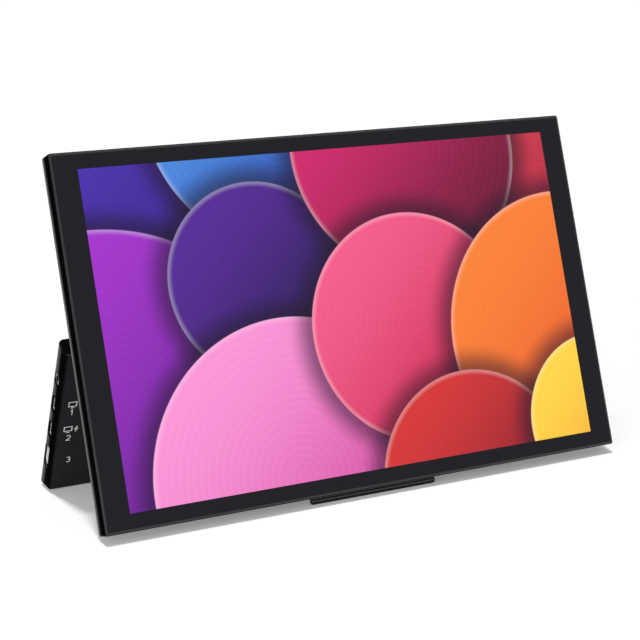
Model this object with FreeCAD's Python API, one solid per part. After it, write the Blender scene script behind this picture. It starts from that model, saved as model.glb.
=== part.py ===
import FreeCAD, Part
import math
import os

# A portable monitor: a flat display panel that leans back on a hinged housing.
# The housing is as wide as the panel, holds the electronics and the sockets, folds flat
# against the lower half of the panel's back, and opens to be the monitor's stand.
#
# Three sets of axes are used, all in millimetres with X to the right.
#   Panel axes: Y runs back from the front of the glass, Z runs up from the lower edge.
#   Stand axes: origin on the hinge, turned so that the folded stand is parallel to the panel.
#   Table axes: Z up from the table, origin under the middle of the open monitor.

V = FreeCAD.Vector

# Picture and panel
PICTURE_W = 301.6         # lit area of a 14 inch screen of 16:10
PICTURE_H = 188.5
SIDE_BEZEL = 15.3
TOP_BEZEL = 9.8
BOTTOM_BEZEL = 9.8
PANEL_T = 12.5
PANEL_RIM = 1.8           # side wall of the panel's shell, seen as a rim round the glass
PANEL_BACK = 1.8
PANEL_CORNER = 1.4
PANEL_EDGE_ROUND = 1.2
RIM_CHAMFER = 0.9
POCKET_CORNER = 1.0
FIT = 0.15                # gap round each piece that drops into another
ROUND_SHARE = 0.9         # most that a rounding takes of the wall or corner beside it
HALF_SHARE = 0.45         # and of a bar that is rounded on both sides
SLOT_SHARE = 0.499        # rounding of a slot's ends, with a sliver of flat left
NEAR = 0.01               # tolerance for finding an edge by its place

# Layers behind the glass, front to back
GLASS_T = 1.1
TAPE_T = 0.3
CELL_T = 1.2
FILMS_T = 0.5
GUIDE_T = 2.0
REFLECTOR_T = 0.2
TRAY_T = 0.6
LAYER_MARGIN = 2.0        # how far the layers reach past the picture
LED_H = 1.6
FLEX_T = 0.2
FLEX_GAP = 0.3            # free space on each side of the flexes where they pass the layers
FLEX_W = 30.0
FLEX_PITCH = 55.0
FLEX_OVERLAP = 4.0        # length of each flex that lies on the panel board
POST_R = 3.0
POST_X = 120.0
POST_Z = (50.0, 165.0)
PANEL_BOARD_W = 170.0
PANEL_BOARD_H = 20.0
PANEL_BOARD_Z = 13.0
BOARD_T = 1.2
CONNECTOR_W = 16.0
CONNECTOR_H = 6.0
CONNECTOR_T = 2.4

# Foot under the panel
FOOT_W = 82.0
FOOT_D = 4.0
FOOT_Y = 6.0              # front of the foot, behind the glass
FOOT_DROP = 3.6           # how far it stands below the panel's lower edge
FOOT_SEAT = 1.0           # depth of the groove that holds it
FOOT_ROUND = 1.4          # rounding that touches the table
FOOT_END_ROUND = 1.6
FACET = 0.25              # depth of the flat that the rubber takes up on the table

# Stand, its lower end cut level with the table in the photographed pose
STAND_L = 102.6           # length of the front
STAND_T = 15.0
STAND_WALL = 2.0
STAND_BACK = 1.8
COVER_T = 1.6
STAND_EDGE_ROUND = 4.0    # rear edges along the two sides
END_ROUND = 2.5           # edges of the lower end
END_REACH = 1.05          # most that END_ROUND takes of the rear face, in side roundings
TOP_ROUND = 1.0           # edges of the upper end
PAD_D = 8.0
PAD_IN = 2.8              # from the stand's front to the rubber pad, along the lower end
PAD_INSET = 14.0          # from each side of the stand to the rubber pad
PAD_PROUD = 0.95          # how far the pad stands below the lower end
PAD_SEAT = 0.9            # depth of the groove that holds it
PAD_ROUND = 0.5

# Hinge
OPEN_ANGLE = 45.9         # between panel and stand in the photographed pose
HINGE_UP = 112.1          # hinge axis above the panel's lower edge
FOLD_GAP = 0.6            # between the panel's back and the folded stand
TOP_DROP = 10.2           # hinge axis to the upper end of the stand
HINGE_X = 110.0
BARREL_R = 7.0
KNUCKLE_W = 30.0
NECK_H = 10.0
PLATE_T = 2.0
PLATE_UP = 22.0
PIN_R = 2.5
PIN_HEAD_R = 4.0
PIN_HEAD_T = 1.5
RUN = 0.05                # running clearance of the hinge, round the pin and beside the ears
WASHER_T = 0.5
WASHER_R = 6.0
EAR_T = 5.0
EAR_R = 6.5
EAR_D = 8.0
BRACKET_L = 14.0          # length of the bracket's plate inside the stand
BRACKET_T = 2.0
BRACKET_SEAT = 2.0        # height of the bosses under the bracket

# Hollow knuckle that takes the display cable across the hinge
CONDUIT_L = 20.0
CONDUIT_BORE = 3.0
CONDUIT_GAP = 0.3         # between the panel's half and the stand's half
CABLE_R = 1.5
CABLE_BEND = 4.0
CABLE_X = 10.0            # where the cable leaves the hinge axis, on each side of the middle
CABLE_RISE = 7.0          # the cable's cross run inside the stand, above the main board
LEAD_R = 1.0
LEAD_BEND = 3.0
LEAD_RISE = 5.0           # speaker leads' run above the speakers
LEAD_PITCH = 4.0          # between the two speaker leads

# Screws
SCREW_R = 1.2
SCREW_HEAD_R = 2.3
SCREW_HEAD_T = 1.3
BOSS_R = 3.0
SCREW_PITCH = 16.0        # between the two screws of a knuckle or a bracket
KNUCKLE_SCREW_UP = 15.0
KNUCKLE_BITE = 4.0        # thread length inside the panel
COVER_BITE = 7.0
COVER_SCREW_X_UPPER = 145.0
COVER_SCREW_X_LOWER = 120.0

# Main board and sockets, heights from the stand's lower end
MAIN_BOARD_L = 93.0
MAIN_BOARD_T = 1.6
BOARD_EDGE_GAP = 0.6      # main board to the side wall and to the cover's screw bosses
BOARD_TOP_GAP = 3.3       # main board to the hinge brackets
BOARD_SCREW_IN = 6.0      # board screws from the board's edges
BOARD_SCREW_X = 27.0      # the left board screw, from the board's left edge
BOARD_SCREW_RISE = 48.0   # the upper board screw above the lower ones
SOCKET_Y = 1.0            # the sockets' centre line, behind the middle of the stand
VIDEO_UP = 20.2
REVERSIBLE_UP = {"lower": 40.9, "upper": 60.4}
JACK_UP = 79.1
SOCKET_SINK = 1.2         # socket mouths behind the side's surface
REVERSIBLE_W = 8.94
REVERSIBLE_H = 3.26
REVERSIBLE_L = 9.0
REVERSIBLE_TONGUE_W = 6.2
VIDEO_W = 14.6
VIDEO_H = 5.4
VIDEO_L = 11.5
VIDEO_SLOPE = 2.0         # sloping corners of the video socket
VIDEO_TONGUE_W = 11.0
SOCKET_SKIN = 0.35
SOCKET_BASE = 2.5         # plastic block that closes each socket
TONGUE_T = 0.7
TONGUE_SINK = 0.8
REVERSIBLE_RECESS = 1.5   # cut-out in the side wall round each reversible socket
VIDEO_RECESS = 0.6        # and round the video socket
JACK_BORE = 1.8
JACK_DEPTH = 14.0
JACK_RING_R = 3.5
JACK_HOLE_GAP = 0.8
JACK_BODY = 7.0
CHIP = 14.0
CHIP_T = 1.2
SPREADER_L = 44.0
SPREADER_H = 40.0
SPREADER_T = 0.8

# Speakers
SPEAKER_L = 44.0
SPEAKER_H = 17.0
SPEAKER_GAP = 3.5         # main board to the left speaker
GRILLE_SLOTS = 7
GRILLE_PITCH = 5.0
GRILLE_SLOT_W = 1.6
GRILLE_SLOT_H = 11.0

# Keys in the right-hand side
KEY_UP = {"power_key": 66.0, "menu_key_upper": 46.0, "menu_key_lower": 32.0}
KEY_L = 9.0
KEY_H = 4.0
KEY_GAP = 0.2
KEY_TRAVEL = 0.4
KEY_FLANGE = 1.0          # lip that keeps the key in, all round and along its travel
KEY_STEM_R = 1.2
SWITCH_L = 6.0
SWITCH_T = 2.6
KEY_BOARD_X = 8.5         # key board's outer face, in from the side
KEY_BOARD_MARGIN = 6.0
KEY_BOARD_D = 8.0
RIB_T = 2.0

# Sizes that follow from the ones above
PANEL_W = PICTURE_W + 2 * SIDE_BEZEL
PANEL_H = PICTURE_H + TOP_BEZEL + BOTTOM_BEZEL
PANEL_CAVITY = PANEL_T - PANEL_BACK
GLASS_BACK = GLASS_T + TAPE_T
OPENING_W = PICTURE_W + 2 * (LAYER_MARGIN + FIT)
OPENING_H = PICTURE_H + 2 * (LAYER_MARGIN + FIT)
OPENING_Z = BOTTOM_BEZEL - LAYER_MARGIN - FIT
LAYER_W = PICTURE_W + 2 * LAYER_MARGIN
LAYER_Z0 = BOTTOM_BEZEL - LAYER_MARGIN
LAYER_Z1 = BOTTOM_BEZEL + PICTURE_H + LAYER_MARGIN
CELL_BACK = GLASS_BACK + CELL_T
FILMS_BACK = CELL_BACK + FILMS_T
GUIDE_BACK = FILMS_BACK + GUIDE_T
REFLECTOR_BACK = GUIDE_BACK + REFLECTOR_T
TRAY_BACK = REFLECTOR_BACK + TRAY_T
BOARD_BACK = TRAY_BACK + BOARD_T
BACK_STACK_Z0 = LAYER_Z0 + FLEX_T + 2 * FLEX_GAP  # layers behind the cell leave room for the flexes
LED_Z0 = LAYER_Z1 - LED_H

HINGE_Y = PANEL_T + FOLD_GAP + STAND_T / 2
STAND_FRONT = -STAND_T / 2
STAND_REAR = STAND_T / 2
STAND_TOP = -TOP_DROP
STAND_BOTTOM = STAND_TOP - STAND_L
STAND_INNER = STAND_FRONT + COVER_T
STAND_CAVITY = STAND_REAR - STAND_BACK
SIDE = PANEL_W / 2
WALL_INSIDE = SIDE - STAND_WALL
MAIN_BOARD_Y = SOCKET_Y + REVERSIBLE_H / 2
BARREL_GAP = KNUCKLE_W / 2 + WASHER_T + RUN  # middle of a hinge to the inner face of an ear
EAR_LOW = STAND_TOP - STAND_WALL - BRACKET_L
BRACKET_Y = STAND_CAVITY - BRACKET_SEAT
KEY_LOW = min(KEY_UP.values()) - KEY_BOARD_MARGIN
KEY_HIGH = max(KEY_UP.values()) + KEY_BOARD_MARGIN
REST_ROUND = min(FOOT_ROUND, HALF_SHARE * FOOT_D)
COVER_SCREW_IN = STAND_WALL + BOSS_R + FIT
COVER_SCREWS = [(x, STAND_TOP - COVER_SCREW_IN) for x in (-COVER_SCREW_X_UPPER, COVER_SCREW_X_UPPER)]
COVER_SCREWS += [(x, STAND_BOTTOM + COVER_SCREW_IN) for x in (-COVER_SCREW_X_LOWER, 0, COVER_SCREW_X_LOWER)]
BOARD_LEFT = -SIDE + STAND_WALL + BOARD_EDGE_GAP
BOARD_RIGHT = BOARD_LEFT + MAIN_BOARD_L
SPEAKER_X = -(BOARD_RIGHT + SPEAKER_GAP + SPEAKER_L / 2)  # each speaker's centre from the middle
BOARD_LOW = STAND_BOTTOM + COVER_SCREW_IN + BOSS_R + BOARD_EDGE_GAP
BOARD_HIGH = EAR_LOW - BOARD_TOP_GAP
BOARD_SCREW_LOW = BOARD_LOW + BOARD_SCREW_IN
BOARD_SCREW_RIGHT = BOARD_RIGHT - BOARD_SCREW_IN - CONNECTOR_H / 2
BOARD_SCREWS = [(BOARD_LEFT + BOARD_SCREW_X, BOARD_SCREW_LOW), (BOARD_SCREW_RIGHT, BOARD_SCREW_LOW),
                (BOARD_SCREW_RIGHT, BOARD_SCREW_LOW + BOARD_SCREW_RISE)]
MOUTH = -SIDE + SOCKET_SINK

# How the panel leans: its foot touches the table with a rounding, and the front edge of the stand's
# lower end is as high above the table as the pad under it stands proud.
foot_centre = V(0, FOOT_Y + FOOT_D - REST_ROUND, REST_ROUND - FOOT_DROP)
end_edge = FreeCAD.Rotation(V(1, 0, 0), OPEN_ANGLE).multVec(V(0, STAND_FRONT, STAND_BOTTOM))
across = end_edge + V(0, HINGE_Y, HINGE_UP) - foot_centre
TILT = math.degrees(math.atan2(across.z, across.y) - math.asin((PAD_PROUD - REST_ROUND) / across.Length))
lean = FreeCAD.Rotation(V(1, 0, 0), -TILT)
LIFT = REST_ROUND - FACET - lean.multVec(foot_centre).z
STAND_LEAN = math.radians(OPEN_ANGLE - TILT)


# Simple solids

def block(x0, x1, y0, y1, z0, z1):
    """Box between two corners."""
    return Part.makeBox(x1 - x0, y1 - y0, z1 - z0, V(x0, y0, z0))


def rod(radius, start, end):
    """Cylinder from start to end."""
    return Part.makeCylinder(radius, (end - start).Length, start, end - start)


def join(shapes):
    """One solid from pieces that touch, with no seams left between them."""
    return shapes[0].fuse(shapes[1:]).removeSplitter()


def plate(width, height, y0, y1, z0, corner):
    """Upright plate centred on X, its four corners rounded in the front view."""
    sheet = block(-width / 2, width / 2, y0, y1, z0, z0 + height)
    corners = [e for e in sheet.Edges if e.BoundBox.YLength > (y1 - y0) / 2]
    return sheet.makeFillet(corner, corners)


def edges_at(shape, y):
    """The edges that lie in the plane at depth y."""
    return [e for e in shape.Edges if abs(e.BoundBox.YMin - y) < NEAR and abs(e.BoundBox.YMax - y) < NEAR]


def ring(outer_r, inner_r, start, end):
    """Tube from start to end."""
    return rod(outer_r, start, end).cut(rod(inner_r, start, end))


def lead(points, bend, radius):
    """Round cable along straight runs that are joined by tangent arcs."""
    path = []
    start = points[0]
    for before, corner, after in zip(points, points[1:], points[2:]):
        into = (corner - before).normalize()
        out = (after - corner).normalize()
        half_turn = into.getAngle(out) / 2
        inward = (out - into).normalize()
        arc_start = corner - into * (bend * math.tan(half_turn))
        arc_end = corner + out * (bend * math.tan(half_turn))
        arc_middle = corner + inward * (bend / math.cos(half_turn) - bend)
        path.append(Part.LineSegment(start, arc_start).toShape())
        path.append(Part.Arc(arc_start, arc_middle, arc_end).toShape())
        start = arc_end
    path.append(Part.LineSegment(start, points[-1]).toShape())
    section = Part.Wire(Part.makeCircle(radius, points[0], points[1] - points[0]))
    return Part.Wire(path).makePipeShell([section], True, False)


def screw(tip, head):
    """Pan-head screw from the tip of its thread to the underside of its head."""
    along = (head - tip).normalize()
    return join([rod(SCREW_R, tip, head), rod(SCREW_HEAD_R, head, head + along * SCREW_HEAD_T)])


def prism_x(outline, x0, x1):
    """Solid along X from an outline of (y, z) points."""
    points = [V(x0, y, z) for y, z in outline]
    return Part.Face(Part.makePolygon(points + points[:1])).extrude(V(x1 - x0, 0, 0))


def slot_x(width, length, x0, x1, y, z):
    """Solid along X with a round-ended section, length along Z and width along Y."""
    bar = block(x0, x1, y - width / 2, y + width / 2, z - length / 2, z + length / 2)
    corners = [e for e in bar.Edges if e.BoundBox.XLength > (x1 - x0) / 2]
    return bar.makeFillet(SLOT_SHARE * min(width, length), corners)


# Display panel, in panel axes

def knuckle_screw_places():
    """Centre of each screw that holds a hinge knuckle on the panel's back, as (x, z)."""
    return [(side * HINGE_X + offset, HINGE_UP + KNUCKLE_SCREW_UP)
            for side in (-1, 1) for offset in (-SCREW_PITCH / 2, SCREW_PITCH / 2)]


def make_display_rear_shell():
    shell = plate(PANEL_W, PANEL_H, 0, PANEL_T, 0, PANEL_CORNER)
    shell = shell.makeFillet(min(PANEL_EDGE_ROUND, ROUND_SHARE * PANEL_CORNER), edges_at(shell, PANEL_T))
    shell = shell.makeChamfer(min(RIM_CHAMFER, ROUND_SHARE * PANEL_RIM), edges_at(shell, 0))
    pocket = plate(PANEL_W - 2 * PANEL_RIM, PANEL_H - 2 * PANEL_RIM, 0, PANEL_CAVITY,
                   PANEL_RIM, POCKET_CORNER)
    posts = [rod(POST_R, V(x, TRAY_BACK, z), V(x, PANEL_CAVITY, z))
             for x in (-POST_X, 0, POST_X) for z in POST_Z]
    tip = PANEL_T - KNUCKLE_BITE
    bosses = [rod(BOSS_R, V(x, tip, z), V(x, PANEL_CAVITY, z)) for x, z in knuckle_screw_places()]
    shell = join([shell.cut(pocket)] + posts + bosses)
    holes = [rod(SCREW_R, V(x, tip, z), V(x, PANEL_T, z)) for x, z in knuckle_screw_places()]
    groove = block(-FOOT_W / 2 - FIT, FOOT_W / 2 + FIT, FOOT_Y - FIT, FOOT_Y + FOOT_D + FIT, 0, FOOT_SEAT)
    cable_hole = rod(CONDUIT_BORE, V(-CABLE_X, PANEL_CAVITY, HINGE_UP), V(-CABLE_X, PANEL_T, HINGE_UP))
    return shell.cut(holes + [groove, cable_hole])


def make_mid_frame():
    margin = PANEL_RIM + FIT
    frame = plate(PANEL_W - 2 * margin, PANEL_H - 2 * margin, GLASS_BACK, PANEL_CAVITY,
                  margin, POCKET_CORNER)
    opening = block(-OPENING_W / 2, OPENING_W / 2, GLASS_BACK, PANEL_CAVITY,
                    OPENING_Z, OPENING_Z + OPENING_H)
    return frame.cut(opening)


def make_cover_glass():
    margin = PANEL_RIM + FIT
    return plate(PANEL_W - 2 * margin, PANEL_H - 2 * margin, 0, GLASS_T, margin, POCKET_CORNER)


def make_glass_adhesive():
    margin = PANEL_RIM + FIT
    tape = plate(PANEL_W - 2 * margin, PANEL_H - 2 * margin, GLASS_T, GLASS_BACK, margin, POCKET_CORNER)
    return tape.cut(block(-OPENING_W / 2, OPENING_W / 2, GLASS_T, GLASS_BACK,
                          OPENING_Z, OPENING_Z + OPENING_H))


def layer(y0, y1, z0, z1):
    """One sheet of the stack behind the glass."""
    return block(-LAYER_W / 2, LAYER_W / 2, y0, y1, z0, z1)


def make_source_flexes():
    strips = []
    for x in (-FLEX_PITCH, 0, FLEX_PITCH):
        low = LAYER_Z0 + FLEX_GAP
        under = block(x - FLEX_W / 2, x + FLEX_W / 2, CELL_BACK, BOARD_BACK + FLEX_T, low, low + FLEX_T)
        behind = block(x - FLEX_W / 2, x + FLEX_W / 2, BOARD_BACK, BOARD_BACK + FLEX_T,
                       low, PANEL_BOARD_Z + FLEX_OVERLAP)
        strips.append(join([under, behind]))
    return Part.makeCompound(strips)


def make_panel_board():
    return block(-PANEL_BOARD_W / 2, PANEL_BOARD_W / 2, TRAY_BACK, BOARD_BACK,
                 PANEL_BOARD_Z, PANEL_BOARD_Z + PANEL_BOARD_H)


def make_panel_connector():
    top = PANEL_BOARD_Z + PANEL_BOARD_H
    return block(-CABLE_X - CONNECTOR_W / 2, -CABLE_X + CONNECTOR_W / 2,
                 BOARD_BACK, BOARD_BACK + CONNECTOR_T, top - CONNECTOR_H, top)


def make_foot_bar():
    bar = block(-FOOT_W / 2, FOOT_W / 2, FOOT_Y, FOOT_Y + FOOT_D, -FOOT_DROP, FOOT_SEAT)
    ends = [e for e in bar.Edges if e.BoundBox.ZLength > FOOT_DROP]
    bar = bar.makeFillet(min(FOOT_END_ROUND, HALF_SHARE * FOOT_D), ends)
    lower = [e for e in bar.Edges if e.BoundBox.ZMax < -FOOT_DROP + NEAR]
    return bar.makeFillet(REST_ROUND, lower)


def make_hinge_knuckle(x):
    half = KNUCKLE_W / 2
    barrel = rod(BARREL_R, V(x - half, HINGE_Y, HINGE_UP), V(x + half, HINGE_Y, HINGE_UP))
    neck = block(x - half, x + half, PANEL_T, HINGE_Y, HINGE_UP - NECK_H / 2, HINGE_UP + NECK_H / 2)
    foot = block(x - half, x + half, PANEL_T, PANEL_T + PLATE_T, HINGE_UP, HINGE_UP + PLATE_UP)
    bore = rod(PIN_R, V(x - half, HINGE_Y, HINGE_UP), V(x + half, HINGE_Y, HINGE_UP))
    outside = PANEL_T + PLATE_T
    holes = [rod(SCREW_R, V(sx, PANEL_T, sz), V(sx, outside, sz)) for sx, sz in knuckle_screw_places()]
    return join([barrel, neck, foot]).cut([bore] + holes)


def make_hinge_pin(x):
    reach = BARREL_GAP + EAR_T + RUN
    pin = rod(PIN_R, V(x - reach, HINGE_Y, HINGE_UP), V(x + reach, HINGE_Y, HINGE_UP))
    heads = []
    for s in (-1, 1):
        inner = V(x + s * reach, HINGE_Y, HINGE_UP)
        heads.append(rod(PIN_HEAD_R, inner, inner + V(s * PIN_HEAD_T, 0, 0)))
    return join([pin] + heads)


def make_friction_washers(x):
    inner = KNUCKLE_W / 2
    return Part.makeCompound([ring(WASHER_R, PIN_R + RUN, V(x + s * inner, HINGE_Y, HINGE_UP),
                                   V(x + s * (inner + WASHER_T), HINGE_Y, HINGE_UP)) for s in (-1, 1)])


def make_knuckle_screws():
    return Part.makeCompound([screw(V(x, PANEL_T - KNUCKLE_BITE, z), V(x, PANEL_T + PLATE_T, z))
                              for x, z in knuckle_screw_places()])


def make_cable_conduit_panel():
    end = -CONDUIT_GAP / 2
    barrel = rod(BARREL_R, V(-CONDUIT_L, HINGE_Y, HINGE_UP), V(end, HINGE_Y, HINGE_UP))
    neck = block(-CONDUIT_L, end, PANEL_T, HINGE_Y, HINGE_UP - NECK_H / 2, HINGE_UP + NECK_H / 2)
    across = rod(CONDUIT_BORE, V(-CABLE_X, HINGE_Y, HINGE_UP), V(end, HINGE_Y, HINGE_UP))
    inward = rod(CONDUIT_BORE, V(-CABLE_X, PANEL_T, HINGE_UP), V(-CABLE_X, HINGE_Y, HINGE_UP))
    corner = Part.makeSphere(CONDUIT_BORE, V(-CABLE_X, HINGE_Y, HINGE_UP))
    return join([barrel, neck]).cut([across, inward, corner])


def make_display_cable_panel():
    y = BOARD_BACK + CABLE_R
    return lead([V(-CABLE_X, y, PANEL_BOARD_Z + PANEL_BOARD_H), V(-CABLE_X, y, HINGE_UP),
                 V(-CABLE_X, HINGE_Y, HINGE_UP), V(-CONDUIT_GAP / 2, HINGE_Y, HINGE_UP)],
                CABLE_BEND, CABLE_R)


# Stand, in stand axes

def up(height):
    """Height above the stand's lower end, as Z in stand axes."""
    return STAND_BOTTOM + height


def video_outline(width, depth, slope):
    """Outline of the video socket as (y, z) points: a rectangle with two sloping corners."""
    z0 = up(VIDEO_UP) - width / 2
    z1 = up(VIDEO_UP) + width / 2
    front = SOCKET_Y - depth / 2
    rear = SOCKET_Y + depth / 2
    return [(front, z0), (front, z1), (rear - slope, z1), (rear, z1 - slope),
            (rear, z0 + slope), (rear - slope, z0)]


def on_end(shape):
    """Move a solid from the lower end's axes to stand axes. They start at the end's front edge, Y back
    along the end and Z at right angles to it."""
    placed = shape.copy()
    placed.rotate(V(0, 0, 0), V(1, 0, 0), -math.degrees(STAND_LEAN))
    placed.translate(V(0, STAND_FRONT, STAND_BOTTOM))
    return placed


def front_to_back(shape, upper):
    """The edges from front to back at the stand's upper or lower corners."""
    middle = STAND_BOTTOM + STAND_L / 2
    return [e for e in shape.Edges if e.BoundBox.XLength < NEAR and e.BoundBox.YLength > e.BoundBox.ZLength
            and (e.BoundBox.ZMin > middle) == upper]


def stand_block(y0, y1, wall, side_round, end_round, top_round):
    """Block with the stand's outline drawn in by the wall, its lower end sloping. The rear edges are
    rounded along the sides, and each end's rounding runs round these."""
    side = SIDE - wall
    top = STAND_TOP - wall
    end = STAND_BOTTOM + wall / math.cos(STAND_LEAN)
    low = [end - (y - STAND_FRONT) * math.tan(STAND_LEAN) for y in (y0, y1)]
    form = prism_x([(y0, top), (y1, top), (y1, low[1]), (y0, low[0])], -side, side)
    if side_round:
        form = form.makeFillet(side_round, [e for e in edges_at(form, y1) if e.BoundBox.XLength < NEAR])
        half_angle = math.pi / 4 - STAND_LEAN / 2     # of the edge between the rear and the lower end
        end_round = min(end_round, END_REACH * side_round * math.tan(half_angle))
    form = form.makeFillet(end_round, front_to_back(form, False))
    return form.makeFillet(top_round, front_to_back(form, True))


def make_stand_rear_shell():
    shell = stand_block(STAND_INNER, STAND_REAR, 0, STAND_EDGE_ROUND, END_ROUND, TOP_ROUND)
    shell = shell.cut(stand_block(STAND_INNER, STAND_CAVITY, STAND_WALL, STAND_EDGE_ROUND - STAND_WALL,
                                  POCKET_CORNER, POCKET_CORNER))
    added = [rod(BOSS_R, V(x, STAND_INNER, z), V(x, STAND_CAVITY, z)) for x, z in COVER_SCREWS]
    board_rear = MAIN_BOARD_Y + MAIN_BOARD_T
    added += [rod(BOSS_R, V(x, board_rear, z), V(x, STAND_CAVITY, z)) for x, z in BOARD_SCREWS]
    added += [rod(BOSS_R, V(x, BRACKET_Y, z), V(x, STAND_CAVITY, z)) for x, z in bracket_screw_places()]
    board_x = SIDE - KEY_BOARD_X
    for low in (KEY_LOW - RIB_T, KEY_HIGH):
        added.append(block(board_x - 2 * BOARD_T, WALL_INSIDE, -KEY_BOARD_D / 2, STAND_CAVITY,
                           up(low), up(low + RIB_T)))
    shell = join([shell] + added)
    cuts = [rod(SCREW_R, V(x, STAND_INNER, z), V(x, STAND_INNER + COVER_BITE, z)) for x, z in COVER_SCREWS]
    cuts += [rod(SCREW_R, V(x, MAIN_BOARD_Y, z), V(x, STAND_CAVITY, z)) for x, z in BOARD_SCREWS]
    cuts += [rod(SCREW_R, V(x, BRACKET_Y, z), V(x, STAND_CAVITY, z)) for x, z in bracket_screw_places()]
    groove_half = SIDE - PAD_INSET + FIT
    cuts.append(on_end(block(-groove_half, groove_half, PAD_IN - FIT, PAD_IN + PAD_D + FIT,
                             -PAD_PROUD, PAD_SEAT)))
    return shell.cut(cuts + socket_cuts() + key_cuts() + hinge_cuts() + grille_cuts())


def socket_cuts():
    """Holes in the left side wall in front of the sockets, past the rounding of the rear edge."""
    end = -SIDE + STAND_EDGE_ROUND
    margin = 2 * REVERSIBLE_RECESS
    cuts = [slot_x(REVERSIBLE_H + margin, REVERSIBLE_W + margin, -SIDE, end, SOCKET_Y, up(height))
            for height in REVERSIBLE_UP.values()]
    margin = 2 * VIDEO_RECESS
    cuts.append(prism_x(video_outline(VIDEO_W + margin, VIDEO_H + margin, VIDEO_SLOPE), -SIDE, end))
    hole_r = JACK_RING_R + JACK_HOLE_GAP
    cuts.append(rod(hole_r, V(-SIDE, SOCKET_Y, up(JACK_UP)), V(end, SOCKET_Y, up(JACK_UP))))
    return cuts


def key_cuts():
    """Slots in the right side wall for the keys."""
    return [slot_x(KEY_H + 2 * KEY_GAP, KEY_L + 2 * KEY_GAP, WALL_INSIDE, SIDE, 0, up(height))
            for height in KEY_UP.values()]


def hinge_cuts():
    """Slots in the upper wall for the hinge ears, and the hole for the display cable."""
    cuts = [rod(CONDUIT_BORE, V(CABLE_X, 0, STAND_TOP - STAND_WALL), V(CABLE_X, 0, STAND_TOP))]
    for x in (-HINGE_X, HINGE_X):
        for s in (-1, 1):
            near = x + s * (BARREL_GAP - FIT)
            far = x + s * (BARREL_GAP + EAR_T + FIT)
            cuts.append(block(min(near, far), max(near, far), -EAR_D / 2 - FIT, EAR_D / 2 + FIT,
                              STAND_TOP - STAND_WALL, STAND_TOP))
    return cuts


def grille_cuts():
    """Rows of sound slots through the rear wall, one row behind each speaker."""
    middle = STAND_BOTTOM + STAND_WALL + FIT + SPEAKER_H / 2
    cuts = []
    for x in (-SPEAKER_X, SPEAKER_X):
        for i in range(GRILLE_SLOTS):
            left = x + (i - (GRILLE_SLOTS - 1) / 2) * GRILLE_PITCH - GRILLE_SLOT_W / 2
            cuts.append(block(left, left + GRILLE_SLOT_W, STAND_CAVITY, STAND_REAR,
                              middle - GRILLE_SLOT_H / 2, middle + GRILLE_SLOT_H / 2))
    return cuts


def bracket_screw_places():
    """Centre of each screw that holds a hinge bracket inside the stand, as (x, z)."""
    middle = STAND_TOP - STAND_WALL - BRACKET_L / 2
    return [(side * HINGE_X + offset, middle)
            for side in (-1, 1) for offset in (-SCREW_PITCH / 2, SCREW_PITCH / 2)]


def make_stand_inner_cover():
    cover = stand_block(STAND_FRONT, STAND_INNER, 0, 0, END_ROUND, TOP_ROUND)
    cuts = []
    for x, z in COVER_SCREWS:
        cuts.append(rod(SCREW_R, V(x, STAND_FRONT, z), V(x, STAND_INNER, z)))
        cuts.append(Part.makeCone(SCREW_HEAD_R, SCREW_R, SCREW_HEAD_T, V(x, STAND_FRONT, z), V(0, 1, 0)))
    return cover.cut(cuts)


def make_cover_screws():
    screws = []
    for x, z in COVER_SCREWS:
        head = Part.makeCone(SCREW_HEAD_R, SCREW_R, SCREW_HEAD_T, V(x, STAND_FRONT, z), V(0, 1, 0))
        shank = rod(SCREW_R, V(x, STAND_FRONT + SCREW_HEAD_T, z), V(x, STAND_INNER + COVER_BITE, z))
        screws.append(join([head, shank]))
    return Part.makeCompound(screws)


def make_stand_pad():
    pad = block(-SIDE + PAD_INSET, SIDE - PAD_INSET, PAD_IN, PAD_IN + PAD_D, -PAD_PROUD, PAD_SEAT)
    lower = [e for e in pad.Edges if e.BoundBox.ZMax < -PAD_PROUD + NEAR]
    return on_end(pad.makeFillet(min(PAD_ROUND, ROUND_SHARE * PAD_PROUD), lower))


def make_hinge_bracket(x):
    outer = BARREL_GAP + EAR_T
    front = BRACKET_Y - BRACKET_T
    solids = [block(x - outer, x + outer, front, BRACKET_Y, EAR_LOW, STAND_TOP - STAND_WALL - FIT)]
    for s in (-1, 1):
        near = x + s * BARREL_GAP
        far = x + s * outer
        solids.append(block(min(near, far), max(near, far), -EAR_D / 2, EAR_D / 2 - FIT, EAR_LOW, 0))
        solids.append(rod(EAR_R, V(near, 0, 0), V(far, 0, 0)))
    bracket = join(solids)
    holes = [rod(SCREW_R, V(sx, front, sz), V(sx, BRACKET_Y, sz)) for sx, sz in bracket_screw_places()]
    return bracket.cut([rod(PIN_R + RUN, V(x - outer, 0, 0), V(x + outer, 0, 0))] + holes)


def make_bracket_screws():
    return Part.makeCompound([screw(V(x, STAND_CAVITY, z), V(x, BRACKET_Y - BRACKET_T, z))
                              for x, z in bracket_screw_places()])


def make_cable_conduit_stand():
    start = CONDUIT_GAP / 2
    barrel = rod(BARREL_R, V(start, 0, 0), V(CONDUIT_L, 0, 0))
    neck = block(start, CONDUIT_L, -NECK_H / 2, NECK_H / 2, STAND_TOP, 0)
    across = rod(CONDUIT_BORE, V(start, 0, 0), V(CABLE_X, 0, 0))
    down = rod(CONDUIT_BORE, V(CABLE_X, 0, STAND_TOP), V(CABLE_X, 0, 0))
    corner = Part.makeSphere(CONDUIT_BORE, V(CABLE_X, 0, 0))
    return join([barrel, neck]).cut([across, down, corner])


def make_display_cable_stand():
    low = BOARD_HIGH + CABLE_RISE
    end = BOARD_RIGHT - CONNECTOR_H / 2
    return lead([V(CONDUIT_GAP / 2, 0, 0), V(CABLE_X, 0, 0), V(CABLE_X, 0, low),
                 V(end, 0, low), V(end, 0, BOARD_HIGH)], CABLE_BEND, CABLE_R)


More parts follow.
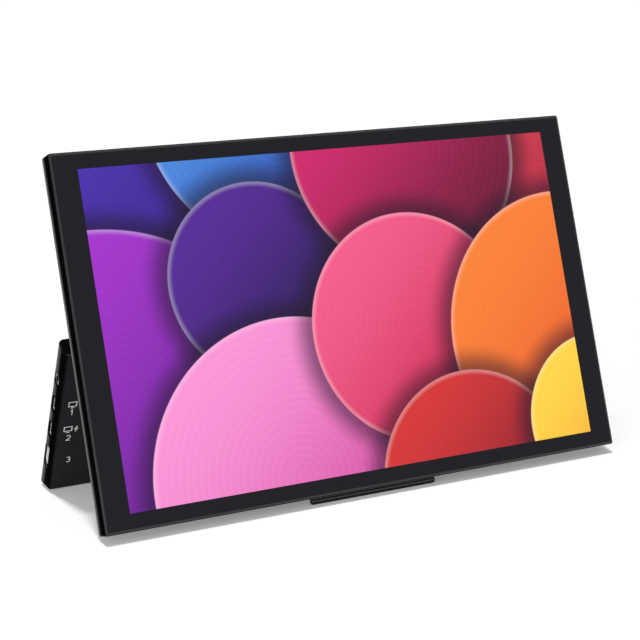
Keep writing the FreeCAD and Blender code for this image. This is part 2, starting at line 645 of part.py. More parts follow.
def make_main_connector():
    return block(BOARD_RIGHT - CONNECTOR_H, BOARD_RIGHT, -CABLE_R, MAIN_BOARD_Y,
                 BOARD_HIGH - CONNECTOR_W, BOARD_HIGH)


def make_main_board():
    rear = MAIN_BOARD_Y + MAIN_BOARD_T
    board = block(BOARD_LEFT, BOARD_RIGHT, MAIN_BOARD_Y, rear, BOARD_LOW, BOARD_HIGH)
    notches = [block(BOARD_LEFT, MOUTH + VIDEO_L, MAIN_BOARD_Y, rear,
                     up(VIDEO_UP) - VIDEO_W / 2, up(VIDEO_UP) + VIDEO_W / 2),
               block(BOARD_LEFT, BOARD_LEFT + JACK_DEPTH, MAIN_BOARD_Y, rear,
                     up(JACK_UP) - JACK_BODY / 2, up(JACK_UP) + JACK_BODY / 2)]
    holes = [rod(SCREW_R, V(x, MAIN_BOARD_Y, z), V(x, rear, z)) for x, z in BOARD_SCREWS]
    return board.cut(notches + holes)


def make_board_screws():
    return Part.makeCompound([screw(V(x, STAND_CAVITY, z), V(x, MAIN_BOARD_Y, z)) for x, z in BOARD_SCREWS])


def make_reversible_shell(height):
    outside = slot_x(REVERSIBLE_H, REVERSIBLE_W, MOUTH, MOUTH + REVERSIBLE_L, SOCKET_Y, up(height))
    inside = slot_x(REVERSIBLE_H - 2 * SOCKET_SKIN, REVERSIBLE_W - 2 * SOCKET_SKIN,
                    MOUTH, MOUTH + REVERSIBLE_L, SOCKET_Y, up(height))
    return outside.cut(inside)


def make_reversible_insert(height):
    end = MOUTH + REVERSIBLE_L
    base = slot_x(REVERSIBLE_H - 2 * SOCKET_SKIN, REVERSIBLE_W - 2 * SOCKET_SKIN, end - SOCKET_BASE, end,
                  SOCKET_Y, up(height))
    tongue = block(MOUTH + TONGUE_SINK, end - SOCKET_BASE, SOCKET_Y - TONGUE_T / 2, SOCKET_Y + TONGUE_T / 2,
                   up(height) - REVERSIBLE_TONGUE_W / 2, up(height) + REVERSIBLE_TONGUE_W / 2)
    return join([base, tongue])


def make_video_shell():
    skin = 2 * SOCKET_SKIN
    end = MOUTH + VIDEO_L
    outside = prism_x(video_outline(VIDEO_W, VIDEO_H, VIDEO_SLOPE), MOUTH, end)
    return outside.cut(prism_x(video_outline(VIDEO_W - skin, VIDEO_H - skin, VIDEO_SLOPE), MOUTH, end))


def make_video_insert():
    skin = 2 * SOCKET_SKIN
    end = MOUTH + VIDEO_L
    base = prism_x(video_outline(VIDEO_W - skin, VIDEO_H - skin, VIDEO_SLOPE), end - SOCKET_BASE, end)
    tongue = block(MOUTH + TONGUE_SINK, end - SOCKET_BASE, SOCKET_Y - TONGUE_T, SOCKET_Y + TONGUE_T,
                   up(VIDEO_UP) - VIDEO_TONGUE_W / 2, up(VIDEO_UP) + VIDEO_TONGUE_W / 2)
    return join([base, tongue])


def make_audio_jack_body():
    half = JACK_BODY / 2
    end = BOARD_LEFT + JACK_DEPTH
    body = block(BOARD_LEFT, end, SOCKET_Y - half, SOCKET_Y + half, up(JACK_UP) - half, up(JACK_UP) + half)
    bore_end = V(end - SOCKET_BASE, SOCKET_Y, up(JACK_UP))
    return body.cut(rod(JACK_BORE, V(BOARD_LEFT, SOCKET_Y, up(JACK_UP)), bore_end))


def make_audio_jack_ring():
    start = V(-SIDE + SOCKET_SINK / 2, SOCKET_Y, up(JACK_UP))
    return ring(JACK_RING_R, JACK_BORE, start, V(BOARD_LEFT, SOCKET_Y, up(JACK_UP)))


def board_middle():
    """Centre of the processor on the main board, as (x, z)."""
    return ((BOARD_LEFT + BOARD_RIGHT) / 2, (BOARD_LOW + BOARD_HIGH) / 2)


def make_processor():
    x, z = board_middle()
    half = CHIP / 2
    return block(x - half, x + half, MAIN_BOARD_Y - CHIP_T, MAIN_BOARD_Y, z - half, z + half)


def make_heat_spreader():
    x, z = board_middle()
    front = MAIN_BOARD_Y - CHIP_T - SPREADER_T
    return block(x - SPREADER_L / 2, x + SPREADER_L / 2, front, MAIN_BOARD_Y - CHIP_T,
                 z - SPREADER_H / 2, z + SPREADER_H / 2)


def make_speaker(x):
    low = STAND_BOTTOM + STAND_WALL + FIT
    return block(x - SPEAKER_L / 2, x + SPEAKER_L / 2, STAND_INNER + FIT, STAND_CAVITY,
                 low, low + SPEAKER_H)


def make_speaker_leads():
    """Two leads above the speakers, from their upper sides to the main board's right-hand edge."""
    y = MAIN_BOARD_Y + MAIN_BOARD_T / 2
    top = STAND_BOTTOM + STAND_WALL + FIT + SPEAKER_H
    leads = []
    for x, height in ((-SPEAKER_X, top + LEAD_RISE), (SPEAKER_X, top + LEAD_RISE + LEAD_PITCH)):
        leads.append(lead([V(x, y, top), V(x, y, height), V(BOARD_RIGHT, y, height)], LEAD_BEND, LEAD_R))
    return Part.makeCompound(leads)


def make_key_lead():
    """Lead from the key board's rear face to the right-hand edge of the main board."""
    y = MAIN_BOARD_Y + MAIN_BOARD_T / 2
    height = up((KEY_LOW + KEY_HIGH) / 2)
    return rod(LEAD_R, V(BOARD_RIGHT, y, height), V(SIDE - KEY_BOARD_X - BOARD_T, y, height))


def make_key_board():
    x = SIDE - KEY_BOARD_X
    return block(x - BOARD_T, x, -KEY_BOARD_D / 2, KEY_BOARD_D / 2, up(KEY_LOW), up(KEY_HIGH))


def make_key_switches():
    x = SIDE - KEY_BOARD_X
    half = SWITCH_L / 2
    return Part.makeCompound([block(x, x + SWITCH_T, -half, half, up(height) - half, up(height) + half)
                              for height in KEY_UP.values()])


def make_key(height):
    """Side key: a cap flush with the wall, a lip behind the wall and a stem over its switch."""
    lip = KEY_FLANGE + KEY_GAP
    lip_face = WALL_INSIDE - KEY_GAP
    lip_back = lip_face - KEY_FLANGE
    stem_end = SIDE - KEY_BOARD_X + SWITCH_T + KEY_TRAVEL + KEY_GAP / 2
    cap = slot_x(KEY_H, KEY_L, lip_face, SIDE, 0, up(height))
    flange = slot_x(KEY_H + 2 * lip, KEY_L + 2 * lip, lip_back, lip_face, 0, up(height))
    stem = rod(KEY_STEM_R, V(stem_end, 0, up(height)), V(lip_back, 0, up(height)))
    return join([cap, flange, stem])


# The open monitor on the table

def on_table(shape):
    """Move a solid from panel axes to its leaning place above the table."""
    placed = shape.copy()
    placed.rotate(V(0, 0, 0), V(1, 0, 0), -TILT)
    placed.translate(V(0, 0, LIFT))
    return placed


def opened(shape):
    """Move a solid from stand axes to its open place above the table."""
    turned = shape.copy()
    turned.rotate(V(0, 0, 0), V(1, 0, 0), OPEN_ANGLE)
    turned.translate(V(0, HINGE_Y, HINGE_UP))
    return on_table(turned)


panel_nodes = {
    "display_rear_shell": make_display_rear_shell(),
    "mid_frame": make_mid_frame(),
    "cover_glass": make_cover_glass(),
    "glass_adhesive": make_glass_adhesive(),
    "lcd_cell": layer(GLASS_BACK, CELL_BACK, LAYER_Z0, LAYER_Z1),
    "optical_films": layer(CELL_BACK, FILMS_BACK, BACK_STACK_Z0, LAYER_Z1),
    "light_guide": layer(FILMS_BACK, GUIDE_BACK, BACK_STACK_Z0, LED_Z0),
    "led_strip": layer(FILMS_BACK, GUIDE_BACK, LED_Z0, LAYER_Z1),
    "reflector_sheet": layer(GUIDE_BACK, REFLECTOR_BACK, BACK_STACK_Z0, LAYER_Z1),
    "backlight_tray": layer(REFLECTOR_BACK, TRAY_BACK, BACK_STACK_Z0, LAYER_Z1),
    "source_flexes": make_source_flexes(),
    "panel_board": make_panel_board(),
    "panel_connector": make_panel_connector(),
    "display_cable_panel": make_display_cable_panel(),
    "cable_conduit_panel": make_cable_conduit_panel(),
    "knuckle_screws": make_knuckle_screws(),
    "foot_bar": make_foot_bar(),
}
stand_nodes = {
    "stand_rear_shell": make_stand_rear_shell(),
    "stand_inner_cover": make_stand_inner_cover(),
    "cover_screws": make_cover_screws(),
    "stand_pad": make_stand_pad(),
    "bracket_screws": make_bracket_screws(),
    "cable_conduit_stand": make_cable_conduit_stand(),
    "display_cable_stand": make_display_cable_stand(),
    "main_connector": make_main_connector(),
    "main_board": make_main_board(),
    "board_screws": make_board_screws(),
    "video_socket_shell": make_video_shell(),
    "video_socket_insert": make_video_insert(),
    "audio_jack_body": make_audio_jack_body(),
    "audio_jack_ring": make_audio_jack_ring(),
    "processor": make_processor(),
    "heat_spreader": make_heat_spreader(),
    "speaker_leads": make_speaker_leads(),
    "key_lead": make_key_lead(),
    "key_board": make_key_board(),
    "key_switches": make_key_switches(),
}
for side, x in (("left", -HINGE_X), ("right", HINGE_X)):
    panel_nodes["hinge_knuckle_" + side] = make_hinge_knuckle(x)
    panel_nodes["hinge_pin_" + side] = make_hinge_pin(x)
    panel_nodes["friction_washers_" + side] = make_friction_washers(x)
    stand_nodes["hinge_bracket_" + side] = make_hinge_bracket(x)
for side, x in (("left", -SPEAKER_X), ("right", SPEAKER_X)):
    stand_nodes["speaker_" + side] = make_speaker(x)
for place, height in REVERSIBLE_UP.items():
    stand_nodes["reversible_socket_shell_" + place] = make_reversible_shell(height)
    stand_nodes["reversible_socket_insert_" + place] = make_reversible_insert(height)
for name, height in KEY_UP.items():
    stand_nodes[name] = make_key(height)

nodes = {name: on_table(shape) for name, shape in panel_nodes.items()}
nodes.update({name: opened(shape) for name, shape in stand_nodes.items()})

# The rubber feet sit flat on the table, and the origin is the middle of the footprint.
casings = ("display_rear_shell", "stand_rear_shell", "stand_inner_cover")
footprint = Part.makeCompound([nodes[name] for name in casings])
extent = footprint.optimalBoundingBox(False, False)
to_middle = V(0, -(extent.YMin + extent.YMax) / 2, 0)
under_table = block(-PANEL_W, PANEL_W, -PANEL_W, PANEL_W, -PANEL_H, 0)
for name in ("foot_bar", "stand_pad"):
    nodes[name] = nodes[name].cut(under_table)

os.makedirs("parts", exist_ok=True)
for name, shape in nodes.items():
    shape.translate(to_middle)
    shape.exportStep("parts/" + name + ".step")

hinge = lean.multVec(V(0, HINGE_Y, HINGE_UP)) + V(0, 0, LIFT) + to_middle
print("nodes", len(nodes), "tilt", round(TILT, 3), "lift", round(LIFT, 4))
print("hinge", hinge, "to middle", to_middle.y)
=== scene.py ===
import math

import bpy
import numpy as np
from mathutils import Matrix, Vector


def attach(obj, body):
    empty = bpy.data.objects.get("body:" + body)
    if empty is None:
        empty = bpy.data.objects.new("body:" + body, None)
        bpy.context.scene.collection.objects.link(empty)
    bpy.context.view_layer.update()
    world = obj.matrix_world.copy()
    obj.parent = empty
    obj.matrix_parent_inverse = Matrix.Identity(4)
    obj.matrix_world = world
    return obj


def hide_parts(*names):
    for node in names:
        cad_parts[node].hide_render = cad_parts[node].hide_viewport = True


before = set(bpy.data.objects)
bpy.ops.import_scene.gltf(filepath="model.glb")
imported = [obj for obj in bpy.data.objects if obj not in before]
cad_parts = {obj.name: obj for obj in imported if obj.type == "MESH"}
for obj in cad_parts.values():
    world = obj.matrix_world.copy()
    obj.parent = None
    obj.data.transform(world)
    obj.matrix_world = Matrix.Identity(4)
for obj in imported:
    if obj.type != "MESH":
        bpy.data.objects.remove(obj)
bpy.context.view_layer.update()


# Display casing: the black tray that holds the screen, seen as a thin rim round the glass.
# Injection-moulded plastic with a fine eroded grain; the rim's front edge is chamfered and polished a
# little by handling.
# Its side walls, ends and rim front carry a painted shade of near black, darker than the same plastic on
# the back.

class Wire:
    """A socket used as a number: each operator on wires and numbers adds one Math node."""

    def __init__(self, finish, socket):
        self.finish = finish
        self.socket = socket

    def math(self, operation, first, second):
        node = self.finish.add("ShaderNodeMath", {"operation": operation}, {0: first, 1: second})
        return Wire(self.finish, node.outputs[0])

    def __add__(self, other):
        return self.math("ADD", self, other)

    def __radd__(self, other):
        return self.math("ADD", other, self)

    def __sub__(self, other):
        return self.math("SUBTRACT", self, other)

    def __rsub__(self, other):
        return self.math("SUBTRACT", other, self)

    def __mul__(self, other):
        return self.math("MULTIPLY", self, other)

    def __rmul__(self, other):
        return self.math("MULTIPLY", other, self)

    def __truediv__(self, other):
        return self.math("DIVIDE", self, other)

    def __rtruediv__(self, other):
        return self.math("DIVIDE", other, self)

    def __pow__(self, other):
        return self.math("POWER", self, other)

    def least(self, other):
        return self.math("MINIMUM", self, other)

    def size(self):
        return self.math("ABSOLUTE", self, 0.0)

    def wave(self):
        return self.math("SINE", self, 0.0)

    def rise(self, low, high):
        """Smooth step from 0 at low to 1 at high."""
        node = self.finish.add("ShaderNodeMapRange", {"interpolation_type": "SMOOTHSTEP"},
                               {"Value": self, "From Min": low, "From Max": high})
        return Wire(self.finish, node.outputs["Result"])


class Finish:
    """A material with one Principled surface; add() makes any node, and feed() sets its sockets."""

    def __init__(self, name, **constants):
        self.material = bpy.data.materials.new(name)
        self.material.use_nodes = True
        self.tree = self.material.node_tree
        self.surface = self.tree.nodes["Principled BSDF"]
        self.place = self.add("ShaderNodeTexCoord").outputs["Object"]
        for key, value in constants.items():
            self.surface.inputs[key.replace("_", " ")].default_value = value

    def add(self, kind, settings=None, sockets=None):
        node = self.tree.nodes.new(kind)
        for key, value in (settings or {}).items():
            setattr(node, key, value)
        self.feed(node, sockets or {})
        return node

    def feed(self, node, sockets):
        for key, value in sockets.items():
            if isinstance(value, Wire):
                value = value.socket
            if isinstance(value, bpy.types.NodeSocket):
                self.tree.links.new(value, node.inputs[key])
            else:
                node.inputs[key].default_value = value

    def noise(self, size, detail=2.0, stretch=(1, 1, 1)):
        """Cloudy noise with patches about size metres across, drawn out along each axis by stretch."""
        scale = [1 / (size * s) for s in stretch]
        place = self.add("ShaderNodeMapping", None, {"Vector": self.place, "Scale": scale}).outputs[0]
        node = self.add("ShaderNodeTexNoise", None, {"Vector": place, "Scale": 1.0, "Detail": detail})
        return Wire(self, node.outputs["Fac"])

    def along(self, direction):
        """Distance along a direction, in metres from the object's origin."""
        node = self.add("ShaderNodeVectorMath", {"operation": "DOT_PRODUCT"},
                        {0: self.place, 1: direction})
        return Wire(self, node.outputs["Value"])

    def mix(self, share, first, second):
        """Colour between first and second."""
        node = self.add("ShaderNodeMix", {"data_type": "RGBA"}, {0: share, 6: first, 7: second})
        return node.outputs[2]

    def bump(self, height, depth):
        """Normal of a relief whose height runs from 0 to 1 and is depth metres high."""
        return self.add("ShaderNodeBump", None, {"Height": height, "Distance": depth}).outputs["Normal"]


def shade(red, green, blue):
    """Scene colour of a screen colour given from 0 to 255."""
    screen = np.array([red, green, blue]) / 255
    linear = np.where(screen <= 0.04045, screen / 12.92, ((screen + 0.055) / 1.055) ** 2.4)
    return (*linear, 1.0)


CLOUD = 0.04              # size of a moulding's slow clouds of shade
ROUGH_SPREAD = 0.14       # how far its grain changes its roughness


def moulded(name, dark, light, roughness, grain, depth, **constants):
    """Moulded plastic: two close shades in slow clouds, and a fine pitted grain."""
    finish = Finish(name, **constants)
    pits = finish.noise(grain)
    finish.feed(finish.surface, {
        "Base Color": finish.mix(finish.noise(CLOUD), dark, light),
        "Roughness": roughness + ROUGH_SPREAD * (pits - 0.5),
        "Normal": finish.bump(pits, depth),
    })
    return finish


def dress(finish, *names):
    """Give CAD nodes a finish."""
    for name in names:
        for material_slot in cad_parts[name].material_slots:
            material_slot.material = finish.material


FACING = math.cos(math.radians(60))


class Face:
    """The largest flat side of a CAD node that looks within 60 degrees of a direction, with its own axes:
    right, up and out of the surface."""

    def __init__(self, node, toward=(0, -1, 0), right=(1, 0, 0)):
        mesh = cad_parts[node].data
        areas = np.empty(len(mesh.polygons))
        normals = np.empty(len(mesh.polygons) * 3)
        mesh.polygons.foreach_get("area", areas)
        mesh.polygons.foreach_get("normal", normals)
        normals = normals.reshape(-1, 3)
        self.right = np.array(right, float)
        self.out = normals[np.argmax(np.where(normals @ np.array(toward) > FACING, areas, 0))]
        self.up = np.cross(self.out, self.right)
        self.axes = np.array([self.right, self.up, self.out])

    def extent(self, node):
        """Lowest and highest corner of a CAD node along the three axes."""
        points = vertices(node) @ self.axes.T
        return points.min(0), points.max(0)

    def world(self, points):
        """Points given along the three axes, in the shared frame."""
        return np.asarray(points) @ self.axes


def vertices(node):
    """A CAD node's corner points, one row each."""
    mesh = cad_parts[node].data
    points = np.empty(len(mesh.vertices) * 3)
    mesh.vertices.foreach_get("co", points)
    return points.reshape(-1, 3)


# Painted shade: near black laid on the casing's walls, ends and rim front and on the inner cover's side
# strips, to stand for shade; the plastic itself is the back's colour.
PAINTED_SHADE_BLACK = shade(6, 6, 7)
BACK_DARK = shade(23, 23, 25)
BACK_LIGHT = shade(40, 40, 42)
CASE_ROUGHNESS = 0.5
CASE_GRAIN = 0.0005       # size of one pit
GRAIN_DEPTH = 0.00006
GRAIN_SHARE = 0.6         # part of the grain in the back's shade, beside the slow clouds
PIT_RANGE = 0.35, 0.65    # noise from the bottom of a pit to its rim
# Each pair is where one zone of the casing begins to give way to the next, and where it is gone.
FRONT_ENDS = 0.0010, 0.0013       # rim's front, by depth behind it
WALL_ENDS = 0.00003, 0.0003       # flat walls, by distance inwards from a side or an end
CORNER_ENDS = 0.001, 0.003        # dull stretch of the rear edge beside the ends
BACK_BEGINS = 0.0012, 0.003       # back, by distance inwards
RIM_BEGINS = 0.0002, 0.0007       # polished front of the rim, by distance inwards
CORNER_POLISH = 0.15      # polish of the rear edge's dull stretch
BACK_DULLING = 0.6        # polish that is lost where the rear edge runs into the back


def casing(name, face, node, fade, end_sheen):
    """Casing plastic: side walls, ends and the rim's front in a painted shade of near black, darker than
    the same plastic on the back, a sheen on the two sides that fades from the rear edge, an even sheen on
    the two ends, polished edges and a grained back. All follow from the distances to the nearest side, to
    the nearest end and to the front."""
    low, high = face.extent(node)
    finish = Finish(name, Specular_IOR_Level=0.0, Coat_Roughness=0.2)
    across = finish.along(face.right) - (low[0] + high[0]) / 2
    upward = finish.along(face.up)
    from_side = (high[0] - low[0]) / 2 - across.size()
    from_end = (upward - low[1]).least(high[1] - upward)
    inward = from_side.least(from_end)
    depth = high[2] - finish.along(face.out)
    sheen = 1 - (high[2] - low[2] - depth).rise(0.0, fade)
    on_front = 1 - depth.rise(*FRONT_ENDS)
    on_side = (1 - on_front) * (1 - from_side.rise(*WALL_ENDS))
    on_end = (1 - on_front) * (1 - from_end.rise(*WALL_ENDS))
    on_back = inward.rise(*BACK_BEGINS) * (1 - on_front)
    edge_polish = CORNER_POLISH + (1 - CORNER_POLISH) * from_end.rise(*CORNER_ENDS)
    rear_edge = (1 - on_front) * inward.rise(*WALL_ENDS) * edge_polish
    polish = on_front * inward.rise(*RIM_BEGINS) + rear_edge * (1 - BACK_DULLING * on_back)
    grain = finish.noise(CASE_GRAIN)
    speckle = (1 - GRAIN_SHARE) * finish.noise(CLOUD) + GRAIN_SHARE * grain.rise(*PIT_RANGE)
    plain = finish.mix(speckle, BACK_DARK, BACK_LIGHT)
    finish.feed(finish.surface, {
        # painted shade: near black wherever the surface is not the back
        "Base Color": finish.mix(on_back, PAINTED_SHADE_BLACK, plain),
        "Roughness": CASE_ROUGHNESS + ROUGH_SPREAD * (grain - 0.5),
        "Coat Weight": on_side * sheen + on_end * end_sheen + polish,
        "Normal": finish.bump(grain, GRAIN_DEPTH),
    })
    return finish


PANEL_SHEEN = 0.0060      # depth over which the side walls' sheen fades
PANEL_END_SHEEN = 0.4

panel = Face("cover_glass")
panel_case = casing("panel_case", panel, "display_rear_shell", PANEL_SHEEN, PANEL_END_SHEEN)
dress(panel_case, "display_rear_shell")


# Cover glass: one flat sheet over the whole front, bonded into the rim.
# Clear glass with a border printed black on its inner face; the lit picture shows through the middle.

PICTURE_INSET = 0.002     # lit picture inside the cell's edge
PICTURE_EDGE = 0.00015    # softness of the picture's edge
RIM_SHADE = 0.045         # softness of a disc's shadow, as a share of the picture's height

cell_low, cell_high = panel.extent("lcd_cell")
picture_low = cell_low[:2] + PICTURE_INSET
picture_high = cell_high[:2] - PICTURE_INSET
picture_height = picture_high[1] - picture_low[1]

# Paper discs of the picture: centre and radius in picture heights from the lower left corner,
# then the shades of the side towards the upper left and of the side towards the lower right.
DISCS = [
    ((0.30, 1.08), 0.62, shade(84, 50, 190), shade(44, 18, 120)),
    ((0.66, 1.14), 0.44, shade(80, 150, 235), shade(36, 56, 170)),
    ((0.00, 0.22), 0.60, shade(170, 50, 210), shade(80, 16, 130)),
    ((0.52, 0.62), 0.30, shade(84, 36, 150), shade(36, 12, 80)),
    ((1.60, 1.02), 0.58, shade(236, 70, 90), shade(150, 14, 50)),
    ((1.08, 0.98), 0.40, shade(214, 36, 110), shade(110, 8, 52)),
    ((0.56, 0.02), 0.48, shade(250, 150, 216), shade(206, 50, 150)),
    ((1.02, 0.42), 0.36, shade(244, 90, 140), shade(200, 24, 70)),
    ((1.60, 0.34), 0.46, shade(250, 130, 50), shade(226, 66, 30)),
    ((1.16, -0.08), 0.34, shade(214, 50, 50), shade(110, 8, 36)),
    ((1.66, 0.04), 0.28, shade(255, 214, 70), shade(246, 150, 40)),
]
RINGS = 280               # fine rings on the discs: their wave's turn over one picture height, in radians
RING_SHARE = 0.025        # and how far they shift a disc's shade
EDGE_LIGHT = 0.018        # width of each disc's lit rim
EDGE_SHARE = 0.2          # and how far the rim goes towards white
DISC_EDGE = 0.002         # softness of a disc's outline
SLANT_SPAN = 1.5          # radii over which half of a disc's gradient runs
SHADOW_SHARE = 0.7


def paper_discs(finish, across, upward):
    """Overlapping paper discs on a violet ground: each has a slanting gradient, fine rings and a lit rim,
    and darkens what lies round it."""
    colour = finish.mix(upward, shade(110, 30, 170), shade(60, 20, 130))
    for (x, z), radius, light, dark in DISCS:
        dx = across - x
        dz = upward - z
        reach = (dx * dx + dz * dz) ** 0.5
        shadow = 1 - reach.rise(radius, radius + 2 * RIM_SHADE)
        inside = 1 - reach.rise(radius - DISC_EDGE, radius + DISC_EDGE)
        rim = reach.rise(radius - EDGE_LIGHT, radius)
        slant = ((dx - dz) / (SLANT_SPAN * radius)).rise(-1.0, 1.0)
        rings = (reach * RINGS).wave()
        paper = finish.mix(slant + RING_SHARE * rings, light, dark)
        paper = finish.mix(EDGE_SHARE * rim, paper, (1, 1, 1, 1))
        colour = finish.mix(SHADOW_SHARE * shadow, colour, shade(24, 2, 34))
        colour = finish.mix(inside, colour, paper)
    return colour


screen_glass = Finish("screen_glass", Specular_IOR_Level=0.18, Emission_Strength=1.0)
right_of = screen_glass.along(panel.right)
above = screen_glass.along(panel.up)
lit = 1.0
for distance, low, high in zip((right_of, above), picture_low, picture_high):
    lit = lit * distance.rise(low, low + PICTURE_EDGE) * (1 - distance.rise(high - PICTURE_EDGE, high))
picture = paper_discs(screen_glass, (right_of - picture_low[0]) / picture_height,
                      (above - picture_low[1]) / picture_height)
screen_glass.feed(screen_glass.surface, {
    "Base Color": screen_glass.mix(lit, shade(11, 10, 20), shade(3, 3, 4)),
    "Roughness": 0.05 + 0.05 * screen_glass.noise(0.03),
    "Emission Color": screen_glass.mix(lit, (0, 0, 0, 1), picture),
})
dress(screen_glass, "cover_glass")


# Frame and tape behind the glass: a black moulded surround that holds the display layers, and a foam
# tape that bonds the glass to it. Both are hidden once the glass is in.

frame_black = moulded("frame_black", shade(24, 24, 24), shade(34, 34, 34), 0.6, 0.0006, 0.00002)
dress(frame_black, "mid_frame", "glass_adhesive")


# Display layers: the cell, the diffusing films, the acrylic light guide, the lamp strip, the white
# reflector and the pressed tray, stacked loose and held by the frame.

lcd_dark = moulded("lcd_dark", shade(20, 18, 26), shade(32, 28, 44), 0.15, 0.002, 0.000002)
film_white = moulded("film_white", shade(232, 232, 228), shade(242, 242, 240), 0.5, 0.0004, 0.000004)
dress(lcd_dark, "lcd_cell")
dress(film_white, "optical_films", "reflector_sheet")

GUIDE_DOTS = 900.0        # dots to a metre
DOT_EDGE = 0.25, 0.35     # a dot's slope, by distance from its middle, as a share of the pitch

light_guide = Finish("light_guide", IOR=1.49)
guide_dots = light_guide.add("ShaderNodeTexVoronoi", None,
                             {"Vector": light_guide.place, "Scale": GUIDE_DOTS})
dot_height = Wire(light_guide, guide_dots.outputs["Distance"]).rise(*DOT_EDGE)
light_guide.feed(light_guide.surface, {
    "Base Color": light_guide.mix(dot_height, shade(250, 252, 252), shade(214, 226, 228)),
    "Roughness": 0.12 + 0.2 * dot_height,
    "Normal": light_guide.bump(dot_height, 0.00003),
})
dress(light_guide, "light_guide")

LAMP_PITCH = 0.0075
LAMP_EDGE = 0.2, 0.3      # a lamp's outline, by height of a wave with one turn to each lamp

lamp_strip = Finish("lamp_strip", Roughness=0.35)
lamps = (lamp_strip.along(panel.right) * (2 * math.pi / LAMP_PITCH)).wave().rise(*LAMP_EDGE)
lamp_strip.feed(lamp_strip.surface, {
    "Base Color": lamp_strip.mix(lamps, shade(240, 240, 236), shade(246, 214, 92)),
    "Normal": lamp_strip.bump(lamps, 0.0001),
})
dress(lamp_strip, "led_strip")

ROLL_MARK = 0.0006        # width of the marks that rolling leaves
ROLL_STRETCH = 30, 1, 1

sheet_metal = Finish("sheet_metal", Metallic=1.0)
rolling = sheet_metal.noise(ROLL_MARK, 3.0, stretch=ROLL_STRETCH)
sheet_metal.feed(sheet_metal.surface, {
    "Base Color": sheet_metal.mix(rolling, shade(176, 178, 182), shade(206, 208, 210)),
    "Roughness": 0.28 + 0.14 * rolling,
    "Normal": sheet_metal.bump(rolling, 0.000004),
})
dress(sheet_metal, "backlight_tray", "heat_spreader")


# Boards, flexes and leads: green lacquered circuit boards with copper tracks under the lacquer, a black
# moulded chip soldered to the main board, amber flexible circuits folded round the layers' lower edge,
# ivory plugs, and cables in dark jackets.

TRACK_SCALE = 90.0        # track fields to a metre
TRACK_WIDTH = 0.06        # share of a field
TRACK_OFFSET = 0.37       # shift of every second row

circuit_board = Finish("circuit_board", Coat_Weight=0.3)
tracks = circuit_board.add("ShaderNodeTexBrick", {"offset": TRACK_OFFSET}, {
    "Vector": circuit_board.place, "Scale": TRACK_SCALE, "Mortar Size": TRACK_WIDTH, "Mortar Smooth": 0.2,
})
track = Wire(circuit_board, tracks.outputs["Fac"])
circuit_board.feed(circuit_board.surface, {
    "Base Color": circuit_board.mix(track, shade(8, 26, 20), shade(16, 42, 32)),
    "Roughness": 0.34 + 0.1 * circuit_board.noise(0.004),
    "Normal": circuit_board.bump(track, 0.00004),
})
dress(circuit_board, "panel_board", "main_board", "key_board")

chip_black = moulded("chip_black", shade(26, 26, 28), shade(36, 36, 38), 0.5, 0.0004, 0.00001)
dress(chip_black, "processor")

FLEX_PITCH = 0.0008       # from one copper track to the next
FLEX_EDGE = 0.2           # softness of a track's edge, by height of a wave with one turn to each track

flex_amber = Finish("flex_amber", Coat_Weight=0.2)
flex_track = (flex_amber.along(panel.right) * (2 * math.pi / FLEX_PITCH)).wave().rise(-FLEX_EDGE, FLEX_EDGE)
flex_amber.feed(flex_amber.surface, {
    "Base Color": flex_amber.mix(flex_track, shade(196, 132, 44), shade(150, 84, 22)),
    "Roughness": 0.3 + 0.1 * flex_track,
})
dress(flex_amber, "source_flexes")

plug_ivory = moulded("plug_ivory", shade(226, 220, 202), shade(236, 232, 216), 0.45, 0.0004, 0.000008)
dress(plug_ivory, "panel_connector", "main_connector")

cable_jacket = moulded("cable_jacket", shade(26, 26, 26), shade(38, 38, 38), 0.55, 0.0005, 0.00002)
dress(cable_jacket, "display_cable_panel", "display_cable_stand")
lead_jacket = moulded("lead_jacket", shade(84, 84, 88), shade(100, 100, 104), 0.5, 0.0005, 0.00002)
dress(lead_jacket, "speaker_leads", "key_lead")


# Foot: a rubber bar let into a groove under the panel, with a fine groove between two shiny ridges.
# Moulded in one piece; its lower half is rounded, dull, and flattens a little on the table.

FOOT_GROOVE = 0.0010              # depth of the groove's middle below the panel's edge
GROOVE_WIDTH = 0.0006
GROOVE_DEPTH = 0.00035
FOOT_END_ROUND = 0.0016
FOOT_LOWER_ROUND = 0.0024         # height of the rounded lower half
FOOT_LOWER_INSET = 0.0015         # and how far it curves in
FOOT_SQUASH = 0.0003              # part of the foot that the table presses flat
UPPER_RINGS = 60                  # rings of the mesh above the rounded half
LOWER_RINGS = 24                  # and on it
LAST_RING = 0.98                  # where the rounding stops, as a share of its quarter turn
UPPER_RIDGE_ENDS = 0.0005, 0.0009         # the shiny ridges, by distance below the panel's edge
LOWER_RIDGE_BEGINS = 0.0012, 0.0015
LOWER_RIDGE_ENDS = 0.0020, 0.0026
LOWER_RIDGE_SHINE = 0.9
CRISP = math.radians(35)          # edges of a piece that are sharper than this stay crisp


def tube_faces(rows, columns, start=0, loop=False):
    """Faces of a tube whose points are numbered ring by ring: neighbouring rings are joined by quads. A
    loop joins its last ring to its first, and any other tube has a face across each end ring."""
    index = start + np.arange(rows * columns).reshape(rows, columns)
    ends = [] if loop else [index[0, ::-1].tolist(), index[-1].tolist()]
    if loop:
        index = np.concatenate([index, index[:1]])
    around = np.column_stack([index, index[:, 0]])
    quads = np.stack([around[:-1, :-1], around[:-1, 1:], around[1:, 1:], around[1:, :-1]], axis=-1)
    return quads.reshape(-1, 4).tolist() + ends


def piece(name, points, faces):
    """Object at the origin from points and faces."""
    mesh = bpy.data.meshes.new(name)
    mesh.from_pydata(np.asarray(points).tolist(), [], faces)
    mesh.polygons.foreach_set("use_smooth", np.ones(len(mesh.polygons), bool))
    mesh.set_sharp_from_angle(angle=CRISP)
    mesh.update()
    made = bpy.data.objects.new(name, mesh)
    bpy.context.scene.collection.objects.link(made)
    return made


